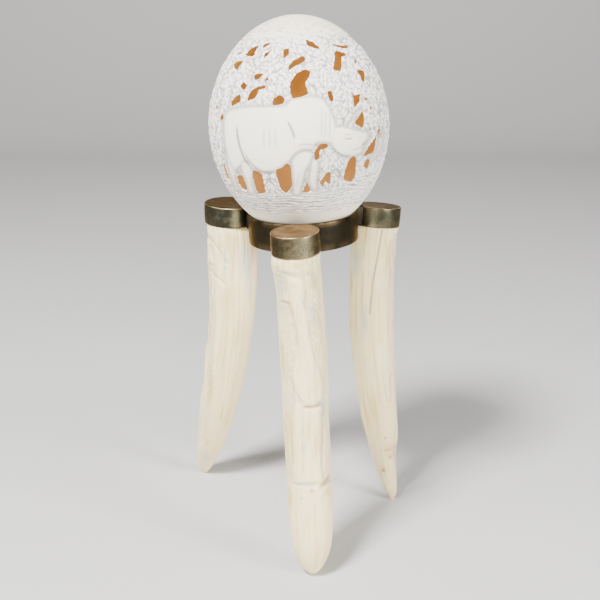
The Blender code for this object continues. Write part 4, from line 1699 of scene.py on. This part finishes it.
@dataclass(frozen=True)
class TuskCarving:
    """The shallow relief on the outward side of a tusk, a long-necked animal under leaves.

    It is drawn as the eye sees the front leg, in the picture's units, one of which is about
    0.67 mm there. Lines are an outline, a width and a depth in millimetres.
    """

    top: float = 273.0
    bottom: float = 483.0
    mirror: float = 302.0
    leg_radius: float = 17 * MM
    ground_depth: float = 1.0 * MM
    fullness: float = 0.5 * MM
    figures: tuple[Outline, ...] = (
        (
            (284, 273), (290, 278), (297, 279), (303, 284), (305, 294), (303, 302), (296, 306), (289, 303),
            (284, 300), (286.5, 292), (286.5, 283),
        ),
        (
            (289, 302), (300, 300), (306, 314), (309.5, 335), (314, 352), (319, 368), (322.5, 385),
            (321, 401), (313, 407), (302, 405), (296, 394), (292.5, 382), (294.5, 362), (296.5, 345),
            (295.5, 330), (292, 314),
        ),
        (
            (294.5, 404), (301.5, 406), (302, 430), (301.5, 452), (302.5, 490), (294, 490), (293, 452),
            (292.5, 425),
        ),
        (
            (306, 409), (320.5, 406), (322, 425), (320.5, 450), (322.5, 490), (305, 490), (304.5, 450),
            (304, 425),
        ),
    )
    lines: tuple[tuple[Outline, float, float], ...] = (
        (((277, 271), (284, 274.5), (290, 277.5), (297, 278.5)), 1.3, 0.5),
        (
            (
                (278, 301), (282, 302), (286, 303), (289, 305), (291.5, 310), (294, 320), (296, 331),
                (297, 346),
            ),
            1.3,
            0.7,
        ),
        (((309, 333), (312, 345), (315, 357), (318.5, 367)), 1.2, 0.4),
        (((291.5, 383), (294.5, 391), (298, 397), (304, 404)), 1.2, 0.6),
        (((305, 408), (312, 407.5), (318, 406), (321, 402)), 1.4, 0.9),
        (((321, 413), (322.5, 432), (324.5, 440), (323.2, 452), (322, 467)), 1.2, 0.6),
        (((291.5, 423), (290.8, 450), (291, 480)), 1.1, 0.4),
        (((303, 409), (302.5, 420), (301.8, 436)), 1.1, 0.4),
        (((311, 436), (312, 452), (312.5, 470)), 0.8, 0.3),
        (((298, 440), (297.5, 455), (297, 470)), 0.8, 0.25),
        (((297, 332), (299, 345), (300, 364)), 0.9, 0.3),
        (((293, 287), (297, 288.5)), 0.9, 0.35),
    )
    hollows: tuple[tuple[Outline, float], ...] = (
        (((275, 273), (283, 277), (287, 284), (286, 294), (281, 300), (274, 299), (270, 286)), 0.7),
        (((319, 489.5), (323, 484), (328, 478), (334, 472), (336, 478), (329, 486)), 1.1),
    )

    def depths(self, points: np.ndarray, leg: Leg, mirrored: bool) -> dict[str, np.ndarray]:
        """Works out the relief on a leg's outward side.

        Args:
            points: The tusk's uncarved points.
            leg: The leg.
            mirrored: Whether the animal faces the other way.

        Returns:
            The depth at each point in metres, and from 0 to 1 how much painted shade it gets.
        """
        form = LEGS[leg]
        turn = math.radians(LEGS[Leg.FRONT].azimuth - form.azimuth)
        sine, cosine = math.sin(turn), math.cos(turn)
        away = points - np.array(STAND_AXIS)
        turned = away.copy()
        turned[:, 0] = away[:, 0] * cosine - away[:, 1] * sine
        turned[:, 1] = away[:, 0] * sine + away[:, 1] * cosine
        spots = EYE.picture(turned + np.array(STAND_AXIS))
        if mirrored:
            spots[:, 0] = 2 * self.mirror - spots[:, 0]
        centre = np.array([LEGS[Leg.FRONT].section(height / MM)[:2] for height in points[:, 2]])
        outward = -(turned[:, 1] - centre[:, 1] * MM) / self.leg_radius
        facing = smooth_step(outward, 0.0, 0.35)
        fine = noise_at(points, 2.2 * MM, 3)
        soft = noise_at(points, 8 * MM, 2)
        edge, layer = cell_edges(points + 0.4 * MM * fine[:, None], (2.4 * MM, 2.4 * MM, 4.2 * MM))
        cells = smooth_step(edge, 0.0, 0.4) * (0.5 + 0.5 * layer)

        within = np.full(len(points), -1e3)
        for outline in self.figures:
            within = np.maximum(within, signed_distance(spots, closed_curve(outline, 2.0)))
        figure = smooth_step(within, -1.2, 0.6)
        ragged = spots[:, 1] + 2.2 * soft
        zone = smooth_step(ragged, self.top - 2, self.top + 2)
        zone *= smooth_step(ragged, self.bottom + 1.5, self.bottom - 1)
        ground = zone * (1 - figure) * facing
        scratches = smooth_step(noise_at(turned * (1, 1, 0.3), 1.9 * MM, 3), 0.1, 0.5)
        depth = ground * (self.ground_depth - 0.35 * MM * cells + 0.25 * MM * fine + 0.2 * MM * scratches)
        depth -= self.fullness * zone * facing
        shown = zone * figure * facing
        depth += shown * 0.35 * MM * (1 - smooth_step(within, 0, 5)) ** 2
        neck = shown * smooth_step(spots[:, 1], 300, 318) * smooth_step(spots[:, 1], 402, 372)
        depth += neck * 0.22 * MM * (1 - cells) + shown * 0.12 * MM * scratches
        rim = smooth_step(within, -4, -0.5) * smooth_step(within, 1.5, -0.5)
        # Painted shade: the carved ground, its scratches, the rim round the figures, the lines and the
        # hollows are darkened in colour.
        dark = 0.15 * zone * facing * scratches + 0.2 * ground * (1 - cells)
        dark += 0.4 * zone * facing * rim * smooth_step(soft, -0.35, 0.3)
        for line, width, deep in self.lines:
            stroke = soft_stroke(spots, line, width) * facing
            depth += stroke * deep * MM * 0.9
            dark = np.maximum(dark, stroke * deep)
        for outline, deep in self.hollows:
            bowl = smooth_step(signed_distance(spots, np.array(outline, float)), -1, 2.5) * facing
            depth += bowl * deep * MM * 0.8
            dark = np.maximum(dark, (deep - 0.4) * bowl)
        hollow = np.clip(0.06 * ground + 0.9 * dark, 0, 1)
        return {"depth": depth, "hollow": hollow}


@dataclass(frozen=True)
class TuskMarks:
    """Marks of one tusk, drawn as the eye sees them; some of them are painted shade.

    A dark line is an outline, a width and a strength; a pit is its x, y and size; a dent is an
    outline, a width and a depth in millimetres; a coloured patch is an outline and a width. Most dark
    lines are fissures and some are painted shadow; the greyish patches are mostly painted shade.
    """

    cracks_and_shadows: tuple[tuple[Outline, float, float], ...] = ()
    pits: tuple[tuple[float, float, float], ...] = ()
    dents: tuple[tuple[Outline, float, float], ...] = ()
    yellow: tuple[tuple[Outline, float], ...] = ()
    grey: tuple[tuple[Outline, float], ...] = ()


MARKS: dict[Leg, TuskMarks] = {
    Leg.FRONT: TuskMarks(
        # The line at the ledge's notch and the one under the belly are painted shadow.
        cracks_and_shadows=(
            (((279, 301.5), (284, 303), (288, 303)), 0.9, 0.45),
            (((320.5, 488), (325, 484.5), (329.5, 478.5), (333, 473)), 1.7, 0.4),
            (((306, 407.8), (312, 407.5), (320, 405)), 0.9, 0.3),
        ),
        pits=((311.5, 491.5, 1.5), (301, 499, 1.0)),
        dents=(
            (
                ((290, 484), (302, 485.5), (313, 486), (320, 486), (326, 483), (330.5, 477), (334, 471)),
                2.2,
                0.7,
            ),
            (((305, 408), (312, 408), (318, 406.5), (323, 402)), 2.2, 0.35),
        ),
        yellow=(
            (((311.5, 262), (314.5, 278), (316, 296)), 1.7),
            (((315.5, 300), (318.5, 318), (322, 336)), 1.9),
            (((308, 262), (309.5, 280)), 0.8),
            (((318.5, 262), (319.5, 276)), 0.8),
            (((273, 265), (277, 267.5), (282, 267)), 2.0),
            (((290, 265), (297, 266.5), (303, 266)), 2.0),
            (((280, 330), (282.5, 356), (284, 384)), 1.2),
            (((289, 481), (290, 496), (291, 512)), 2.0),
            (((308, 412), (309, 430), (308, 448)), 1.5),
            (((315, 425), (316, 445), (314, 465)), 1.5),
            (((326, 484), (328, 492), (327, 498)), 2.5),
        ),
        # Mostly painted shade: the shadow under the cap, the shade in the recess by the head and under the
        # ledge.
        grey=(
            (((279, 273), (280, 288), (279, 300)), 2.6),
            (((281, 304), (283, 312)), 2.0),
            (((308, 296), (312, 312), (315, 332)), 2.6),
            (((278, 270), (285, 272.5), (292, 276)), 1.2),
            (((290, 484.5), (305, 484.5), (319, 485)), 1.8),
            (((323, 396), (324, 408), (324, 420)), 2.0),
        ),
    ),
    Leg.RIGHT: TuskMarks(
        cracks_and_shadows=(
            (
                ((382, 230), (379.6, 243), (376.7, 260.4), (372.9, 279.5), (371, 298.6), (369.6, 314)),
                0.75,
                0.9,
            ),
            (((372, 345), (375, 362), (378, 382)), 0.7, 0.18),
            (((382, 368), (384, 385), (387, 402)), 0.7, 0.25),
            (((391.5, 372), (391.5, 388), (391, 402)), 0.8, 0.4),
            (((383.5, 451.5), (388.5, 450.8), (392, 449.5)), 0.9, 0.4),
            (((395.5, 446), (394, 452), (395, 458)), 1.3, 0.45),
        ),
        pits=((385.3, 438.4, 0.9), (390.7, 457.6, 1.6), (383, 470.6, 1.6)),
        dents=(
            (((399, 430), (396.5, 438), (393.5, 444), (391, 451), (393, 459)), 2.2, 1.0),
            (((384, 451.5), (388.5, 451), (393, 448.5)), 1.3, 0.7),
            (((395, 245), (393, 252)), 1.5, 0.7),
            (((393, 262), (394, 275)), 1.4, 0.5),
            (((392, 345), (391, 370), (391.5, 400)), 1.0, 0.6),
        ),
        yellow=(
            (((352, 262), (351, 280), (350.5, 300)), 1.5),
            (((386, 233), (387, 250), (387, 280)), 1.2),
            (((391, 232), (390.5, 262), (390, 300)), 1.0),
            (((368, 390), (372, 410), (376, 430)), 0.9),
            (((373, 385), (376, 410), (379, 436)), 0.8),
            (((390, 440), (388, 452), (391, 462)), 3.0),
            (((383, 466), (383, 474)), 2.2),
            (((362, 395), (367, 415), (372, 435)), 1.2),
        ),
        grey=((((357, 240), (356, 262), (355, 285)), 2.5), (((364, 300), (365, 340)), 2.5)),
    ),
    Leg.LEFT: TuskMarks(
        cracks_and_shadows=(
            (((212, 273.5), (217, 277), (222, 281)), 0.9, 0.3),
            (((210, 240), (214, 244), (218, 249), (226, 263)), 0.9, 0.22),
        ),
        dents=(
            (((209, 239), (213, 243), (217, 248), (222, 256), (226.5, 264)), 1.3, 0.8),
            (((211, 272), (214, 276), (220, 280), (226, 286)), 1.4, 0.8),
            (((209, 296), (212, 306), (209, 318)), 1.6, 0.9),
            (((207, 330), (209, 338), (206, 346)), 1.4, 0.7),
            (((222, 245), (226, 256)), 1.2, 0.4),
        ),
        yellow=(
            (((238, 229.5), (242, 230), (247, 229.5)), 1.8),
            (((234.5, 233), (233, 262), (231, 296)), 0.9),
            (((219, 232), (219, 262)), 0.7),
            (((241, 300), (238, 330), (232, 362)), 0.9),
            (((228, 320), (225, 350), (219, 385)), 1.0),
            (((213, 372), (211, 392), (208, 412)), 1.3),
            (((224, 398), (222, 412), (219, 425)), 1.0),
            (((205, 436), (208, 442), (206, 448)), 1.6),
        ),
        # The two bands nearest the ring are painted shade cast by the ring.
        grey=(
            (((245, 234), (247, 262), (247, 288)), 2.2),
            (((240.5, 240), (242, 262), (241, 284)), 1.2),
            (((224, 240), (225, 262), (223, 285)), 1.0),
            (((203, 452), (208, 462)), 2.5),
        ),
    ),
}


@dataclass
class Tusk:
    """A carved tusk, from the end that fills its cap down to the small flat of its tip."""

    leg: Leg
    finish: TuskFinish
    mirrored: bool = False
    depth_ratio: float = 1.1
    plug_rows: int = 4
    rows: int = 310
    steps: int = 144
    row_crowding: float = 1.25
    ridge: float = 0.26 * MM
    wave: float = 0.25 * MM
    crack_depth: float = 0.3 * MM
    pit_depth: float = 0.5 * MM
    grain_radius: float = 16 * MM
    grain_stretch: float = 0.09
    grain_shift: tuple[float, float, float] = (0.11, 0.07, 0.05)
    shoulder_rows: int = 6
    carving: TuskCarving = field(default_factory=TuskCarving)

    def rings(self) -> list[np.ndarray]:
        """Returns the uncarved rings from the top down."""
        form = LEGS[self.leg]
        place = form.cap_frame()
        deep, across = (half * MM - CAP.wall - GAP for half in form.cap_half)
        edge = 1.0 * MM
        shoulder = -CAP.height - GAP
        rings = [
            oval(place, deep - edge, across - edge, -CAP.roof - GAP, self.steps),
            oval(place, deep, across, -CAP.roof - GAP - edge, self.steps),
            oval(place, deep, across, shoulder, self.steps),
        ]
        neck = form.sections[0][3] * MM
        rings.append(oval(place, neck * self.depth_ratio, neck, shoulder - 0.05 * MM, self.steps))
        start = form.cap_top - (CAP.height + 5 * MM) / MM
        body = []
        for share in np.linspace(0, 1, self.rows):
            height = start * (1 - share) ** self.row_crowding
            x, y, half = form.section(height)
            flat = Matrix.Translation(STAND_AXIS + Vector((x, y, height)) * MM)
            turned = flat @ Matrix.Rotation(math.radians(form.azimuth), 4, "Z")
            body.append(oval(turned, half * self.depth_ratio * MM, half * MM, 0, self.steps))
        for share in np.arange(1, self.shoulder_rows) / self.shoulder_rows:
            rings.append(rings[3] * (1 - share) + body[0] * share)
        return rings + body

    def marks(self, points: np.ndarray, facing: np.ndarray) -> dict[str, np.ndarray]:
        """Works out the marks that the eye sees.

        Args:
            points: The tusk's points.
            facing: From 0 to 1, how much each point faces the eye.

        Returns:
            Depths in metres, and at each point the strength of the dark lines, partly painted shadow, of
            the yellow stains, and of the greyish patches, mostly painted shade.
        """
        spots = EYE.picture(points)
        own = MARKS[self.leg]
        result = {key: np.zeros(len(points)) for key in ("depth", "crack", "yellow", "grey")}
        for line, width, strength in own.cracks_and_shadows:
            stroke = soft_stroke(spots, line, width) * facing * strength
            result["crack"] = np.maximum(result["crack"], stroke)
            result["depth"] += self.crack_depth * stroke
        for x, y, size in own.pits:
            spot = np.exp(-(((spots[:, 0] - x) ** 2 + (spots[:, 1] - y) ** 2) / size**2)) * facing
            result["crack"] = np.maximum(result["crack"], 0.75 * spot)
            result["depth"] += self.pit_depth * spot
        for line, width, deep in own.dents:
            stroke = soft_stroke(spots, line, width) * facing
            result["depth"] += deep * MM * stroke
        # Yellow stains, and greyish patches that are mostly painted shade.
        for key in ("yellow", "grey"):
            for line, width in getattr(own, key):
                patch = soft_stroke(spots, line, 1.35 * width, 0.4) * facing
                result[key] = np.maximum(result[key], patch)
        return result

    def build(self) -> bpy.types.Object:
        """Makes the tusk."""
        form = LEGS[self.leg]
        rings = self.rings()
        points = np.concatenate(rings)
        middles = np.repeat([ring.mean(0) for ring in rings], self.steps, 0)
        outward = points - middles
        outward[:, 2] = 0
        radius = np.linalg.norm(outward, axis=1, keepdims=True)
        outward /= radius
        facing = smooth_step(-outward[:, 1], 0.05, 0.3)
        turns = np.tile(np.arange(self.steps) / self.steps * math.tau, len(rings))
        around = np.stack([np.cos(turns), np.sin(turns)], 1) * self.grain_radius
        grain = np.concatenate([around, points[:, 2:] * self.grain_stretch], 1)
        grain += np.array(self.grain_shift) * (1 + list(Leg).index(self.leg))

        relief = self.carving.depths(points, self.leg, self.mirrored)
        marks = self.marks(points, facing)
        ridges = noise_at(grain, 3.2 * MM, 3)
        waves = noise_at(points, 26 * MM, 2)
        depth = relief["depth"] + marks["depth"] - self.ridge * ridges - self.wave * waves
        tip = smooth_step(points[:, 2], 2 * MM, 12 * MM)
        shown = tip.copy()
        shown[: self.plug_rows * self.steps] = 0
        points = points - outward * (depth * shown)[:, None]
        masks = {
            "grain": grain,
            "grained": smooth_step(points[:, 2] + 30 * MM * waves, 45 * MM, 95 * MM),
            "hollow": relief["hollow"] * shown,
            # Painted shade towards the foot.
            "foot": smooth_step(points[:, 2] + 20 * MM * waves, 130 * MM, 20 * MM),
            # Dark lines, some of them painted shadow.
            "crack": marks["crack"] * shown,
            "yellow": marks["yellow"] * shown,
            # Greyish patches, mostly painted shade.
            "grey": marks["grey"] * shown,
        }
        material = self.finish.material(f"tusk_{self.leg.value}")
        piece = mesh_object(
            f"tusk_{self.leg.value}_carved",
            points,
            loft_faces(len(rings), self.steps),
            [material],
            masks=masks,
            smooth_angle=75,
        )
        face_outward(piece)
        LOG.info("%s tusk at azimuth %.1f degrees", self.leg.value, form.azimuth)
        return install(piece, f"tusk_{self.leg.value}")


@dataclass(frozen=True)
class Ring:
    """The turned brass ring that the egg rests in, with a lug to each cap.

    The seat follows the egg over the top seat_drop of the ring. The skirt is how far the ring
    reaches below the origin of its frame.
    """

    radius: float = 39.8 * MM
    height: float = 18.4 * MM
    skirt: float = 2.2 * MM
    edge: float = 0.8 * MM
    seat_drop: float = 2.0 * MM
    seat_gap: float = 1.5 * GAP
    lug_gap: float = 1.8 * GAP
    steps: int = 192
    lug_width: float = 15 * MM
    lug_height: float = 14.4 * MM
    lug_bottom: float = 3.0 * MM

    def profile(self) -> list[tuple[float, float, float]]:
        """Returns radius, height and wear along the ring's section, from its inner bottom edge."""
        form = EggForm()
        to_egg = SEAT.ring_bottom - SEAT.egg_bottom
        heights = np.array([self.height, self.height - self.seat_drop])
        seat_top, seat_low = (float(radius) + self.seat_gap for radius in form.radius(heights + to_egg))
        points = [(seat_low, 0.4 * MM - self.skirt, 0.3), (seat_low + 0.4 * MM, -self.skirt, 0.6)]
        points += self.corner(self.radius - self.edge, self.edge - self.skirt, -90)
        points += [(self.radius + 0.05 * MM, self.height * share, 0.05) for share in (0.25, 0.5, 0.75)]
        points += self.corner(self.radius - self.edge, self.height - self.edge, 0)
        points += [(seat_top + 0.3 * MM, self.height, 0.9), (seat_top, self.height - 0.3 * MM, 0.8)]
        points += [(seat_low, self.height - self.seat_drop, 0.2)]
        return points

    def corner(self, radius: float, height: float, start: float) -> list[tuple[float, float, float]]:
        """Returns a rounded corner of the section, from an angle in degrees up a quarter turn."""
        turns = [math.radians(start + 90 * step / 4) for step in range(5)]
        return [(radius + self.edge * math.cos(t), height + self.edge * math.sin(t), 0.9) for t in turns]

    def lug(self, leg: Leg) -> tuple[np.ndarray, list[Sequence[int]]]:
        """Returns the points and faces of the lug that ends just short of a leg's cap."""
        seat = SEAT.ring_frame().translation
        clear = LEGS[leg].cap_frame()
        direction = clear.translation - seat
        azimuth = math.atan2(direction.y, direction.x)
        place = SEAT.ring_frame() @ Matrix.Rotation(azimuth, 4, "Z")
        edge = 0.8 * MM
        section = []
        for start, side, top in ((0, 1, 1), (90, -1, 1), (180, -1, 0), (270, 1, 0)):
            for step in range(4):
                turn = math.radians(start + 30 * step)
                across = side * (self.lug_width / 2 - edge) + edge * math.cos(turn)
                up = self.lug_bottom + edge + top * (self.lug_height - 2 * edge) + edge * math.sin(turn)
                section.append((across, up))
        flat = np.array(section)
        near = np.stack([np.full(len(flat), self.radius - 1.2 * MM), flat[:, 0], flat[:, 1]], 1)
        start = moved(near, place)
        way = np.array(place)[:3, 0]
        to_cap = clear.inverted()
        local, along = moved(start, to_cap), np.array(to_cap)[:3, :3] @ way
        size = np.array(LEGS[leg].cap_half) * MM + self.lug_gap
        p, d = local[:, :2] / size, along[:2] / size
        a, b, c = d @ d, p @ d, (p * p).sum(1) - 1
        reach = (-b - np.sqrt(np.maximum(b * b - a * c, 0))) / a
        end = start + way * reach[:, None]
        return np.concatenate([start, end]), loft_faces(2, len(flat))

    def build(self) -> bpy.types.Object:
        """Makes the ring."""
        section = self.profile()
        rings, worn = [], []
        for radius, height, rubbed_and_reflected in [*section, section[0]]:
            ring = oval(SEAT.ring_frame(), radius, radius, height, self.steps)
            rings.append(ring)
            worn.append(np.clip(rubbed_and_reflected * (0.8 + 0.9 * noise_at(ring, 7 * MM, 3)), 0, 1))
        count = len(section) * self.steps
        faces: list[Sequence[int]] = []
        for face in loft_faces(len(rings), self.steps, (False, False)):
            faces.append([index % count for index in face])
        points, rubs = np.concatenate(rings[:-1]), np.concatenate(worn[:-1])
        for leg in Leg:
            extra, sides = self.lug(leg)
            faces += [[len(points) + index for index in face] for face in sides]
            points = np.concatenate([points, extra])
            rubs = np.concatenate([rubs, np.full(len(extra), 0.15)])
        material = BRASSES[Tone.RING].material("ring_brass")
        masks = {"worn": rubs, "polish": np.zeros(len(rubs))}
        piece = mesh_object("ring_turned", points, faces, [material], masks=masks, smooth_angle=50)
        face_outward(piece)
        return install(piece, "ring")


# The room


@dataclass(frozen=True)
class Studio:
    """A plain pale floor that runs up into a backdrop, under large soft lights.

    A light is its name, its place, the length of its sides and its power in watts.
    """

    half_width: float = 5.0
    front: float = -4.0
    back: float = 1.6
    bend: float = 0.7
    top: float = 4.0
    bend_steps: int = 24
    aim: tuple[float, float, float] = (0, 0, 0.22)
    room: float = 0.16
    lights: tuple[tuple[str, tuple[float, float, float], float, float], ...] = (
        ("key_light", (-0.6, -0.75, 1.6), 0.35, 100),
        ("left_light", (-1.2, -0.8, 0.55), 0.5, 12),
        ("right_light", (1.25, -0.85, 0.62), 0.5, 42),
        ("front_light", (0.1, -2.2, 1.1), 1.0, 24),
    )

    def floor(self) -> bpy.types.Object:
        """Makes the floor and backdrop."""
        line = [(self.front, 0.0)]
        for step in range(self.bend_steps + 1):
            turn = math.pi / 2 * step / self.bend_steps
            line.append((self.back + self.bend * math.sin(turn), self.bend * (1 - math.cos(turn))))
        line.append((self.back + self.bend, self.top))
        points = [(side * self.half_width, y, z) for y, z in line for side in (-1, 1)]
        faces = [(2 * row, 2 * row + 1, 2 * row + 3, 2 * row + 2) for row in range(len(line) - 1)]
        piece = mesh_object("floor", np.array(points), faces, [FloorFinish().material()], smooth_angle=60)
        return piece

    def light(
        self, name: str, place: tuple[float, float, float], size: float, power: float
    ) -> bpy.types.Object:
        """Adds a square soft light that faces the egg.

        Args:
            name: The light's name.
            place: Where it hangs.
            size: The length of its sides.
            power: Its power in watts.

        Returns:
            The light.
        """
        lamp = bpy.data.lights.new(name, "AREA")
        lamp.shape = "SQUARE"
        lamp.size = size
        lamp.energy = power
        item = bpy.data.objects.new(name, lamp)
        item.location = place
        way = Vector(self.aim) - Vector(place)
        item.rotation_euler = way.to_track_quat("-Z", "Y").to_euler()
        bpy.context.scene.collection.objects.link(item)
        return item

    def world(self) -> None:
        """Fills the room with pale light."""
        world = bpy.data.worlds.new("pale_room")
        world.use_nodes = True
        sky = world.node_tree.nodes["Background"]
        sky.inputs["Color"].default_value = (1.0, 0.99, 0.98, 1.0)
        sky.inputs["Strength"].default_value = self.room
        bpy.context.scene.world = world

    def build(self) -> None:
        """Sets up floor, lights, world and camera."""
        self.floor()
        for name, place, size, power in self.lights:
            self.light(name, place, size, power)
        self.world()
        EYE.camera()


FINISHES: dict[Leg, TuskFinish] = {
    Leg.FRONT: TuskFinish(),
    Leg.RIGHT: TuskFinish(yellowing=0.4, greying=0.25, foot_shade=0.42),
    Leg.LEFT: TuskFinish(yellowing=0.45, greying=0.35, foot_shade=0.3),
}
TONES: dict[Leg, Tone] = {Leg.FRONT: Tone.BRONZE, Leg.RIGHT: Tone.OLIVE, Leg.LEFT: Tone.DARK}


def main() -> None:
    """Dresses the frame and sets up the room."""
    logging.basicConfig(level=logging.INFO, format="%(name)s: %(message)s")
    egg = CarvedEgg().build()
    LOG.info("egg: %d faces", len(egg.data.polygons))
    ring = Ring().build()
    LOG.info("ring: %d faces", len(ring.data.polygons))
    for leg in Leg:
        cap = CAP.build(leg, TONES[leg])
        LOG.info("%s: %d faces", cap.name, len(cap.data.polygons))
        tusk = Tusk(leg, FINISHES[leg], mirrored=leg is Leg.LEFT).build()
        LOG.info("%s: %d faces", tusk.name, len(tusk.data.polygons))
    Studio().build()


if __name__ == "__main__":
    main()
